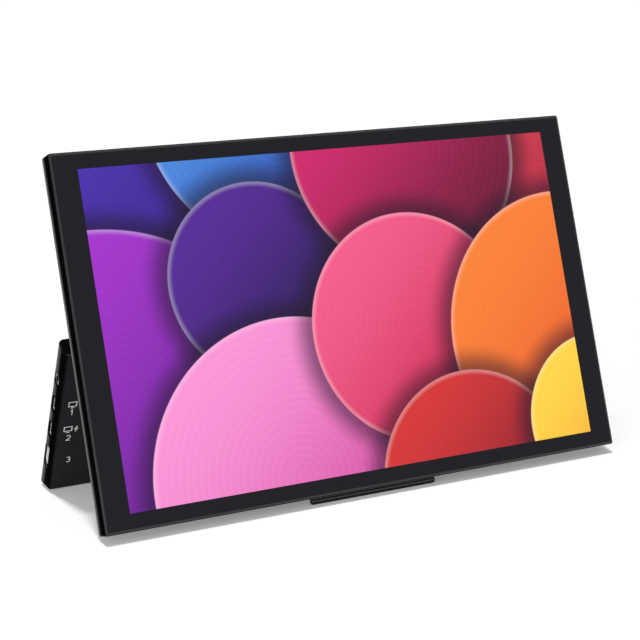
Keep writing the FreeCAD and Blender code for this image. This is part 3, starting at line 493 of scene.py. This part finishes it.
def rounded_outline(low, high, radius, steps=10):
    """Rectangle with round corners as points (first, second axis), anticlockwise from the corner where
    both are high: each corner is a quarter circle of steps + 1 points about a centre radius inside both
    sides."""
    turn = np.linspace(0, np.pi / 2, steps + 1)
    right, left = high[0] - radius, low[0] + radius
    upper, lower = high[1] - radius, low[1] + radius
    corners = []
    for quarter, centre in enumerate(((right, upper), (left, upper), (left, lower), (right, lower))):
        angle = turn + quarter * np.pi / 2
        corners.append(centre + radius * np.column_stack([np.cos(angle), np.sin(angle)]))
    return np.concatenate(corners)


panel_edge = panel.extent("display_rear_shell")[0][1]


def foot_bar():
    """Rings of the foot's rounded outline from its seat down to its lowest edge. Each ring is drawn in by
    a quarter ellipse over the lower half and by a rounded dip at the groove, and stops at the table."""
    low, high = panel.extent("foot_bar")
    lowest = low[1] - FOOT_SQUASH
    turn = np.linspace(0, LAST_RING, LOWER_RINGS) * np.pi / 2
    straight = high[1] - lowest - FOOT_LOWER_ROUND
    fall = np.concatenate([np.linspace(0, straight, UPPER_RINGS, endpoint=False),
                           straight + FOOT_LOWER_ROUND * (1 - np.cos(turn))])
    height = high[1] - fall
    under = np.clip((lowest + FOOT_LOWER_ROUND - height) / FOOT_LOWER_ROUND, 0, 1)
    inset = FOOT_LOWER_INSET * (1 - np.sqrt(1 - under ** 2))
    inset += GROOVE_DEPTH * np.exp(-((panel_edge - height - FOOT_GROOVE) / (0.5 * GROOVE_WIDTH)) ** 2)
    outline = rounded_outline((low[0], low[2]), (high[0], high[2]), FOOT_END_ROUND)
    middle = (low[[0, 2]] + high[[0, 2]]) / 2
    half = (high[[0, 2]] - low[[0, 2]]) / 2
    rings = middle + (outline - middle) * (1 - inset[:, None, None] / half)
    heights = np.broadcast_to(height[:, None, None], rings.shape[:2] + (1,))
    grid = panel.world(np.concatenate([rings[..., :1], heights, rings[..., 1:]], axis=-1))
    grid[..., 2] = np.maximum(grid[..., 2], 0.0)
    return piece("foot_bar_grooved", grid.reshape(-1, 3), tube_faces(*grid.shape[:2]))


foot_rubber = Finish("foot_rubber", Specular_IOR_Level=0.08, Coat_Roughness=0.25)
below = panel_edge - foot_rubber.along(panel.up)
upper_ridge = 1 - below.rise(*UPPER_RIDGE_ENDS)
lower_ridge = below.rise(*LOWER_RIDGE_BEGINS) * (1 - below.rise(*LOWER_RIDGE_ENDS))
rubber_grain = foot_rubber.noise(0.0005)
foot_rubber.feed(foot_rubber.surface, {
    "Base Color": foot_rubber.mix(foot_rubber.noise(0.01), shade(28, 28, 30), shade(35, 35, 37)),
    "Roughness": 0.45 + 0.1 * rubber_grain,
    "Coat Weight": upper_ridge + LOWER_RIDGE_SHINE * lower_ridge,
    "Normal": foot_rubber.bump(rubber_grain, 0.00001),
})
foot = foot_bar()
foot.data.materials.append(foot_rubber.material)
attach(foot, "panel")
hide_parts("foot_bar")


# Hinges: two coated metal knuckles screwed to the panel's back, two brackets with ears inside the
# stand, a turned steel pin through each, and thin steel friction washers between them. A hollow knuckle
# of two halves in the middle takes the display cable across.

TURN_MARK = 0.0004        # width of the marks that turning leaves
TURN_STRETCH = 1, 20, 20

hinge_black = moulded("hinge_black", shade(28, 28, 30), shade(38, 38, 40), 0.38, 0.0005, 0.00002)
for place in ("left", "right"):
    dress(hinge_black, "hinge_knuckle_" + place, "hinge_bracket_" + place)
dress(hinge_black, "cable_conduit_panel", "cable_conduit_stand")

turned_steel = Finish("turned_steel", Metallic=1.0)
turning = turned_steel.noise(TURN_MARK, 3.0, stretch=TURN_STRETCH)
turned_steel.feed(turned_steel.surface, {
    "Base Color": turned_steel.mix(turning, shade(150, 150, 153), shade(186, 186, 188)),
    "Roughness": 0.25 + 0.15 * turning,
    "Normal": turned_steel.bump(turning, 0.000005),
})
for place in ("left", "right"):
    dress(turned_steel, "hinge_pin_" + place, "friction_washers_" + place)
dress(turned_steel, "bracket_screws", "board_screws")


# Stand casing: the rear tray of the hinged housing, with sound slots behind the speakers.
# Injection-moulded in the same grained black plastic as the display casing, with the same painted shade of
# near black on its walls.

STAND_SHEEN = 0.010
STAND_END_SHEEN = 0.02

stand = Face("stand_inner_cover")
stand_case = casing("stand_case", stand, "stand_rear_shell", STAND_SHEEN, STAND_END_SHEEN)
dress(stand_case, "stand_rear_shell")


# Inner cover: the flat sheet that closes the stand's front, held by five sunk screws.
# Satin black plastic with a painted shade that darkens it towards its side edges; small plain signs and
# numbers beside the sockets are printed in light grey.

PAINTED_EDGE_SHADE = 0.0028        # width of the painted shade beside the sides
COVER_SHINE = 0.3

cover_low, cover_high = stand.extent("stand_inner_cover")
inner_cover = Finish("inner_cover", Specular_IOR_Level=0.0, Coat_Roughness=0.4)
satin = inner_cover.noise(0.0003)
# painted shade: the cover goes near black towards its side edges, standing for the shading of a rounded
# edge
border = (cover_high[0] - inner_cover.along(stand.right).size()).rise(0.0, PAINTED_EDGE_SHADE)
cover_shade = inner_cover.mix(inner_cover.noise(0.03), shade(30, 30, 34), shade(35, 35, 40))
inner_cover.feed(inner_cover.surface, {
    "Base Color": inner_cover.mix(border, PAINTED_SHADE_BLACK, cover_shade),
    "Roughness": 0.5 + 0.1 * (satin - 0.5),
    "Coat Weight": COVER_SHINE * border,
    "Normal": inner_cover.bump(satin, 0.000008),
})
dress(inner_cover, "stand_inner_cover")

PRINT_WIDTH = 0.00052     # of a line
PRINT_HEIGHT = 0.00005    # thickness of the ink


def stroke(points, width, closed=False):
    """Printed line: a flat band of the given width along a path. Each point is moved to both sides along
    the normal of the path there, and the band has a top and a bottom."""
    path = np.asarray(points, float)
    ahead = np.roll(path, -1, axis=0) - path
    behind = path - np.roll(path, 1, axis=0)
    if not closed:
        ahead[-1] = behind[-1]
        behind[0] = ahead[0]
    ahead /= np.linalg.norm(ahead, axis=1, keepdims=True)
    behind /= np.linalg.norm(behind, axis=1, keepdims=True)
    along = ahead + behind
    along /= np.linalg.norm(along, axis=1, keepdims=True)
    spread = width / 2 / np.sum(along * ahead, axis=1, keepdims=True)
    side = np.column_stack([-along[:, 1], along[:, 0]]) * spread
    left, right = path + side, path - side
    top = np.full((len(path), 1), PRINT_HEIGHT)
    return np.stack([np.column_stack([left, 0 * top]), np.column_stack([left, top]),
                     np.column_stack([right, top]), np.column_stack([right, 0 * top])], axis=1)


def arc(x, y, radius, start, end, steps=14):
    """Points on a circle from one angle to another, in degrees."""
    angle = np.radians(np.linspace(start, end, steps))
    return np.column_stack([x + radius * np.cos(angle), y + radius * np.sin(angle)])


# Signs on a unit cell, as lists of (points, closed).
ONE = [([(0.1, 0.78), (0.35, 1.0), (0.35, 0.0)], False)]
TWO = [(np.concatenate([arc(0.32, 0.7, 0.3, 160, -40), [(0.02, 0.0), (0.64, 0.0)]]), False)]
THREE = [(np.concatenate([arc(0.3, 0.74, 0.26, 150, -80), arc(0.3, 0.26, 0.28, 80, -150)]), False)]
SCREEN = [([(0.0, 0.25), (0.0, 1.0), (1.1, 1.0), (1.1, 0.25)], True), ([(0.3, 0.0), (0.8, 0.0)], False)]
BOLT = [([(0.42, 1.0), (0.1, 0.45), (0.5, 0.55), (0.2, 0.0)], False)]

# Each sign with its height, its distance from the cover's left edge and its height above the lower edge.
SIGNS = [
    (SCREEN, 0.0042, 0.0060, 0.0640), (ONE, 0.0038, 0.0072, 0.0585),
    (SCREEN, 0.0042, 0.0052, 0.0452), (BOLT, 0.0042, 0.0112, 0.0452), (TWO, 0.0038, 0.0072, 0.0390),
    (THREE, 0.0038, 0.0090, 0.0215),
]


def printed(name, face, signs, corner, width):
    """All signs of one face as one mesh: strokes on a unit cell are scaled, moved from the corner and laid
    on the face."""
    points, faces, start = [], [], 0
    for sign, size, x, z in signs:
        for path, closed in sign:
            grid = stroke(np.asarray(path) * size + (x, z), width, closed)
            faces += tube_faces(*grid.shape[:2], start, closed)
            points.append(face.world(grid.reshape(-1, 3) + corner))
            start += len(points[-1])
    return piece(name, np.concatenate(points), faces)


print_grey = Finish("print_grey", Roughness=0.5)
ink = print_grey.noise(0.0004)
print_grey.feed(print_grey.surface, {
    "Base Color": print_grey.mix(ink, shade(222, 222, 224), shade(242, 242, 243)),
})
cover_corner = np.array([cover_low[0], cover_low[1], cover_high[2]])
signs = printed("socket_signs", stand, SIGNS, cover_corner, PRINT_WIDTH)
signs.data.materials.append(print_grey.material)
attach(signs, "stand")


# Stand pad: a strip of black rubber under the stand's lower end, which grips the table.
# Moulded in one piece and glued into a shallow groove.

pad_rubber = moulded("pad_rubber", shade(26, 26, 27), shade(34, 34, 35), 0.6, 0.0005, 0.00002)
dress(pad_rubber, "stand_pad")


# Sockets in the stand's left side: two reversible ones with dark steel shells, bright rolled lips and
# black tongues, a video socket with a pale plated shell and a white tongue, and a shiny black ring round
# the audio bore. Each is soldered to the main board behind its hole in the wall.

DRAW_MARK = 0.0003        # width of the marks that drawing leaves on a shell
DRAW_STRETCH = 20, 1, 1

socket_steel = Finish("socket_steel", Metallic=1.0)
drawing = socket_steel.noise(DRAW_MARK, stretch=DRAW_STRETCH)
socket_steel.feed(socket_steel.surface, {
    "Base Color": socket_steel.mix(drawing, shade(214, 214, 212), shade(236, 236, 234)),
    "Roughness": 0.16 + 0.12 * drawing,
    "Normal": socket_steel.bump(drawing, 0.000003),
})
socket_dark = Finish("socket_dark", Metallic=1.0)
smoke = socket_dark.noise(DRAW_MARK, stretch=DRAW_STRETCH)
socket_dark.feed(socket_dark.surface, {
    "Base Color": socket_dark.mix(smoke, shade(74, 74, 75), shade(96, 96, 97)),
    "Roughness": 0.3 + 0.12 * smoke,
    "Normal": socket_dark.bump(smoke, 0.000003),
})
dress(socket_dark, "reversible_socket_shell_lower", "reversible_socket_shell_upper")
dull_plating = Finish("dull_plating", Metallic=0.15)
haze = dull_plating.noise(0.0004)
dull_plating.feed(dull_plating.surface, {
    "Base Color": dull_plating.mix(haze, shade(240, 240, 238), shade(250, 250, 249)),
    "Roughness": 0.45 + 0.1 * haze,
})
dress(dull_plating, "video_socket_shell")
socket_black = moulded("socket_black", shade(18, 18, 18), shade(26, 26, 26), 0.4, 0.0003, 0.000006)
for place in ("lower", "upper"):
    dress(socket_black, "reversible_socket_insert_" + place)
dress(socket_black, "audio_jack_body")
socket_white = moulded("socket_white", shade(236, 236, 233), shade(246, 246, 244), 0.4, 0.0003, 0.000006)
dress(socket_white, "video_socket_insert")
jack_black = moulded("jack_black", shade(14, 14, 15), shade(20, 20, 21), 0.2, 0.0008, 0.000003,
                     Specular_IOR_Level=0.25)
dress(jack_black, "audio_jack_ring")

SOCKET_BASE = 0.0025      # plastic block at the back of each socket
CONTACT_SKIN = 0.00005    # thickness of a contact
CONTACT_BACK = 0.0020     # contacts start behind the tongue's tip
CONTACT_BOX = np.array([[x, y, z] for x in (0, 1) for y in (-0.5, 0.5) for z in (0, 1)], float)
CONTACT_FACES = np.array([
    [0, 1, 3, 2], [4, 6, 7, 5],
    [0, 4, 5, 1], [2, 3, 7, 6],
    [0, 2, 6, 4], [1, 5, 7, 3],
])


def contacts(node, tongue_half, pitch, width, front, rear):
    """Gold strips on both faces of a socket's tongue: one small box, copied at an even pitch along the
    tongue and moved onto its front and rear face."""
    low, high = stand.extent(node)
    middle = (low + high) / 2
    strip = CONTACT_BOX * (high[0] - low[0] - SOCKET_BASE - CONTACT_BACK, width, CONTACT_SKIN)
    boxes = []
    for count, surface in ((front, tongue_half), (rear, -tongue_half - CONTACT_SKIN)):
        place = (np.arange(count) - (count - 1) / 2) * pitch
        start = np.array([low[0] + CONTACT_BACK, middle[1], middle[2] + surface])
        shift = np.column_stack([0 * place, place, 0 * place])
        boxes.append(strip[None] + start + shift[:, None])
    return np.concatenate(boxes)


def contact_set(name, node, **sizes):
    """One socket's contacts as one mesh."""
    boxes = stand.world(contacts(node, **sizes))
    faces = (CONTACT_FACES[None] + 8 * np.arange(len(boxes))[:, None, None]).reshape(-1, 4)
    made = piece(name, boxes.reshape(-1, 3), faces.tolist())
    made.data.materials.append(contact_gold.material)
    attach(made, "stand")


contact_gold = Finish("contact_gold", Metallic=1.0)
plating = contact_gold.noise(0.0004)
contact_gold.feed(contact_gold.surface, {
    "Base Color": contact_gold.mix(plating, shade(214, 168, 84), shade(236, 196, 112)),
    "Roughness": 0.22 + 0.1 * plating,
})
for place in ("lower", "upper"):
    contact_set("socket_contacts_" + place, "reversible_socket_insert_" + place,
                tongue_half=0.00035, pitch=0.0005, width=0.00025, front=12, rear=12)
contact_set("socket_contacts_video", "video_socket_insert",
            tongue_half=0.0007, pitch=0.001, width=0.0005, front=10, rear=9)

LIP_R = 0.00014
LIP_STEPS = 64            # points along the mouth's outline
LIP_SIDES = 12            # points round the lip


def rolled_lip(place):
    """Rolled lip round a reversible socket's mouth: a small circle carried along the mouth's outline, which
    is two straight runs joined by half circles."""
    low, high = stand.extent("reversible_socket_shell_" + place)
    middle = (low + high) / 2
    end_r = (high[2] - low[2]) / 2
    run = (high[1] - low[1]) / 2 - end_r
    turn = np.linspace(0, 2 * np.pi, LIP_STEPS, endpoint=False)
    away = np.column_stack([np.sin(turn), np.cos(turn)])
    path = away * end_r + np.column_stack([run * np.sign(np.round(away[:, 0], 9)), 0 * turn])
    around = np.linspace(0, 2 * np.pi, LIP_SIDES, endpoint=False)
    reach = path[:, None] + away[:, None] * (LIP_R * np.cos(around))[None, :, None]
    forward = np.broadcast_to(low[0] + LIP_R * np.sin(around), reach.shape[:2])
    grid = np.stack([forward, reach[..., 0] + middle[1], reach[..., 1] + middle[2]], axis=-1)
    points = stand.world(grid.reshape(-1, 3))
    made = piece("socket_lip_" + place, points, tube_faces(*grid.shape[:2], loop=True))
    made.data.materials.append(socket_steel.material)
    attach(made, "stand")


for place in ("lower", "upper"):
    rolled_lip(place)


# Keys in the right side: three satin black plastic caps with small printed signs.
# Each moulded cap slides in a hole in the wall and presses a switch on the small board behind it.

key_black = moulded("key_black", shade(30, 30, 31), shade(40, 40, 41), 0.35, 0.0003, 0.000006)
dress(key_black, "power_key", "menu_key_upper", "menu_key_lower")
dress(chip_black, "key_switches")

KEY_SIGN = 0.0022         # size of a sign's unit cell
KEY_LINE = 0.0003         # width of its lines
POWER = [(arc(0, 0, 0.42, 125, 415, 24), False), ([(0, 0.05), (0, 0.55)], False)]
PLUS = [([(-0.4, 0), (0.4, 0)], False), ([(0, -0.4), (0, 0.4)], False)]
MINUS = [([(-0.4, 0), (0.4, 0)], False)]

for key, sign in (("power_key", POWER), ("menu_key_upper", PLUS), ("menu_key_lower", MINUS)):
    cap = Face(key, toward=(1, 0, 0), right=-stand.out)
    low, high = cap.extent(key)
    middle = (low + high) / 2
    cap_middle = np.array([middle[0], middle[1], high[2]])
    mark = printed(key + "_sign", cap, [(sign, KEY_SIGN, 0, 0)], cap_middle, KEY_LINE)
    mark.data.materials.append(print_grey.material)
    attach(mark, key)


# Speakers: two closed boxes behind the sound slots, covered in a woven black cloth that keeps dust out.
# They sit in the stand's casing beside the main board.

WEAVE = 2500.0            # threads to a metre

speaker_cloth = Finish("speaker_cloth", Roughness=0.8)
weave = speaker_cloth.add("ShaderNodeTexChecker", None, {"Vector": speaker_cloth.place, "Scale": WEAVE})
speaker_cloth.feed(speaker_cloth.surface, {
    "Base Color": speaker_cloth.mix(weave.outputs["Fac"], shade(20, 20, 20), shade(40, 40, 40)),
    "Normal": speaker_cloth.bump(weave.outputs["Fac"], 0.00005),
})
dress(speaker_cloth, "speaker_left", "speaker_right")


# Screws: blackened steel with pressed cross recesses, pan heads on the hinge knuckles and sunk heads in
# the stand's inner cover.

RECESS_ARM = 0.0012       # from the middle to the end of one arm of the cross
RECESS_HALF = 0.00028     # half of an arm's width
RECESS_DEPTH = 0.0008
RECESS_WALL = 0.0001      # slope of the walls beside an arm
RECESS_END = 0.0002       # and at its end
HEAD_T = 0.0013
DOME = 0.35               # height of a pan head's dome, as a share of the head's
SHANK_SHARE = 0.52        # shank's radius as a share of the head's
TIP_SHARE = 0.5           # tip's radius as a share of the shank's
SCREW_GAP = 0.002         # free space between neighbouring screws, at least
TOP_RINGS = 26            # rings of the mesh on a head's top
TOP_MIDDLE = 0.00002      # radius of the innermost one
SCREW_STEPS = 96          # points round a screw

screw_black = moulded("screw_black", shade(34, 34, 35), shade(46, 46, 47), 0.3, 0.0003, 0.000006,
                      Metallic=0.6)


def screw_clusters(node, face):
    """Each screw's points along the face's axes: the node's points are sorted across the face and split
    wherever a gap between screws lies."""
    points = vertices(node) @ face.axes.T
    points = points[np.argsort(points[:, 0])]
    return np.split(points, np.nonzero(np.diff(points[:, 0]) > SCREW_GAP)[0] + 1)


def screw_surface(profile):
    """Screw turned from a profile of (radius, height) points. The cross is a dip of the top rings: full
    depth where a point lies within an arm's half width and length, with steep walls."""
    turn = np.linspace(2 * np.pi, 0, SCREW_STEPS, endpoint=False)
    radius, height = profile[:, :1], profile[:, 1:]
    x = radius * np.cos(turn)
    y = radius * np.sin(turn)

    def arm(a, b):
        across = np.clip((RECESS_HALF - np.abs(a)) / RECESS_WALL + 0.5, 0, 1)
        along = np.clip((RECESS_ARM - np.abs(b)) / RECESS_END + 0.5, 0, 1)
        return across * along

    cross = np.maximum(arm(x, y), arm(y, x))
    top = (np.arange(len(profile)) < TOP_RINGS)[:, None]
    return np.stack([x, y, height - RECESS_DEPTH * cross * top], axis=-1)


def screw_profile(head_r, length, domed):
    """Radius and height of a screw from the middle of its top to its tip: a flat or domed top in even
    rings, the head's underside and the straight shank."""
    shank_r = SHANK_SHARE * head_r
    top_r = np.linspace(TOP_MIDDLE, head_r, TOP_RINGS)
    dome = DOME * HEAD_T * (1 - (top_r / head_r) ** 2) if domed else 0 * top_r
    top = np.column_stack([top_r, dome])
    rim = (1 - DOME) * HEAD_T
    under = [(head_r, -rim), (shank_r, -rim)] if domed else [(shank_r, -HEAD_T)]
    return np.concatenate([top, under, [(shank_r, -length), (TIP_SHARE * shank_r, -length)]])


def screw_set(name, node, face, outward, domed, body):
    """All screws of a node as one mesh: each takes its middle, head and length from the CAD screw that it
    stands for. Outward is 1 or -1, for heads that look out of the face or into it."""
    points, faces, start = [], [], 0
    for cluster in screw_clusters(node, face):
        low, high = cluster.min(0), cluster.max(0)
        middle = (low + high) / 2
        grid = screw_surface(screw_profile((high[0] - low[0]) / 2, high[2] - low[2], domed))
        top = high[2] if outward > 0 else low[2]
        sunk = DOME * HEAD_T if domed else 0.0
        placed = np.stack([grid[..., 0] + middle[0], grid[..., 1] * outward + middle[1],
                           (grid[..., 2] - sunk) * outward + top], axis=-1)
        faces += tube_faces(*placed.shape[:2], start)
        points.append(face.world(placed.reshape(-1, 3)))
        start += len(points[-1])
    made = piece(name, np.concatenate(points), faces)
    made.data.materials.append(screw_black.material)
    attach(made, body)
    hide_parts(node)


screw_set("knuckle_screws_cross", "knuckle_screws", panel, -1, True, "panel")
screw_set("cover_screws_cross", "cover_screws", stand, 1, False, "stand")


# Studio: a pale floor that stays white to the camera and keeps the shadow, a white surrounding, an
# overhead light, a soft lamp at the front left, and the camera where the photograph was taken from.

FLOOR_SIZE = 60.0
FLOOR_GREY = 0.72
FLOOR_GLOW = 0.20         # light that only the camera and reflections see, which makes the floor white
AMBIENT = 0.4             # the surrounding's light on the object
SUN_STRENGTH = 2.3
SUN_WIDTH = math.radians(6)
SUN_LEAN = math.radians(4)            # from the left
LAMP_AT = (-1.05, -0.75, 0.35)
LAMP_AIM = (-0.10, 0.0, 0.08)
LAMP_POWER = 8.0
LAMP_SIZE = 0.7
CAMERA_AT = (-0.43633, -0.84315, 0.32873)
CAMERA_YAW = math.radians(26.936)     # to the right of straight back
CAMERA_PITCH = math.radians(13.981)   # downwards
CAMERA_ROLL = math.radians(-0.483)
CAMERA_LENS = 92.75
CAMERA_SENSOR = 36.0


def seen_share(tree):
    """1 for rays from the camera, from reflections and through glass, else 0."""
    rays = tree.nodes.new("ShaderNodeLightPath")
    socket = rays.outputs["Is Camera Ray"]
    for kind in ("Is Glossy Ray", "Is Transmission Ray"):
        either = tree.nodes.new("ShaderNodeMath")
        either.operation = "MAXIMUM"
        tree.links.new(socket, either.inputs[0])
        tree.links.new(rays.outputs[kind], either.inputs[1])
        socket = either.outputs[0]
    return socket


floor_mesh = bpy.data.meshes.new("floor")
half = FLOOR_SIZE / 2
floor_corners = [(-half, -half, 0), (half, -half, 0), (half, half, 0), (-half, half, 0)]
floor_mesh.from_pydata(floor_corners, [], [(0, 1, 2, 3)])
floor = bpy.data.objects.new("floor", floor_mesh)
bpy.context.scene.collection.objects.link(floor)

floor_white = Finish("floor_white", Roughness=0.9, Specular_IOR_Level=0.0)
floor_white.surface.inputs["Base Color"].default_value = (FLOOR_GREY, FLOOR_GREY, FLOOR_GREY, 1)
seen = Wire(floor_white, seen_share(floor_white.tree))
glow = floor_white.add("ShaderNodeEmission", None, {"Strength": seen * FLOOR_GLOW})
total = floor_white.add("ShaderNodeAddShader", None,
                        {0: floor_white.surface.outputs[0], 1: glow.outputs[0]})
floor_white.feed(floor_white.tree.nodes["Material Output"], {"Surface": total.outputs[0]})
floor_mesh.materials.append(floor_white.material)

world = bpy.data.worlds.new("surrounding")
bpy.context.scene.world = world
world.use_nodes = True
tree = world.node_tree
sky = tree.nodes["Background"]
sky.inputs["Color"].default_value = (1, 1, 1, 1)
brightness = tree.nodes.new("ShaderNodeMapRange")
brightness.inputs["To Min"].default_value = AMBIENT
tree.links.new(seen_share(tree), brightness.inputs["Value"])
tree.links.new(brightness.outputs[0], sky.inputs["Strength"])

overhead = bpy.data.lights.new("overhead", "SUN")
overhead.energy = SUN_STRENGTH
overhead.angle = SUN_WIDTH
lamp = bpy.data.objects.new("overhead", overhead)
lamp.location = (0, 0, 2)
lamp.rotation_euler = (0, -SUN_LEAN, 0)
bpy.context.scene.collection.objects.link(lamp)

softbox = bpy.data.lights.new("softbox", "AREA")
softbox.energy = LAMP_POWER
softbox.size = LAMP_SIZE
lamp = bpy.data.objects.new("softbox", softbox)
lamp.location = LAMP_AT
lamp.rotation_euler = (Vector(LAMP_AIM) - Vector(LAMP_AT)).to_track_quat("-Z", "Y").to_euler()
bpy.context.scene.collection.objects.link(lamp)

level = math.cos(CAMERA_PITCH)
look = np.array([math.sin(CAMERA_YAW) * level, math.cos(CAMERA_YAW) * level, -math.sin(CAMERA_PITCH)])
level_right = np.cross(look, (0, 0, 1))
level_right = level_right / np.linalg.norm(level_right)
level_up = np.cross(level_right, look)
camera_right = math.cos(CAMERA_ROLL) * level_right + math.sin(CAMERA_ROLL) * level_up
camera_up = np.cross(-look, camera_right)
camera_data = bpy.data.cameras.new("camera")
camera_data.lens = CAMERA_LENS
camera_data.sensor_width = CAMERA_SENSOR
camera = bpy.data.objects.new("camera", camera_data)
bpy.context.scene.collection.objects.link(camera)
turn = Matrix(np.column_stack([camera_right, camera_up, -look]).tolist()).to_4x4()
camera.matrix_world = Matrix.Translation(CAMERA_AT) @ turn
bpy.context.scene.camera = camera
bpy.context.scene.view_settings.view_transform = "Standard"
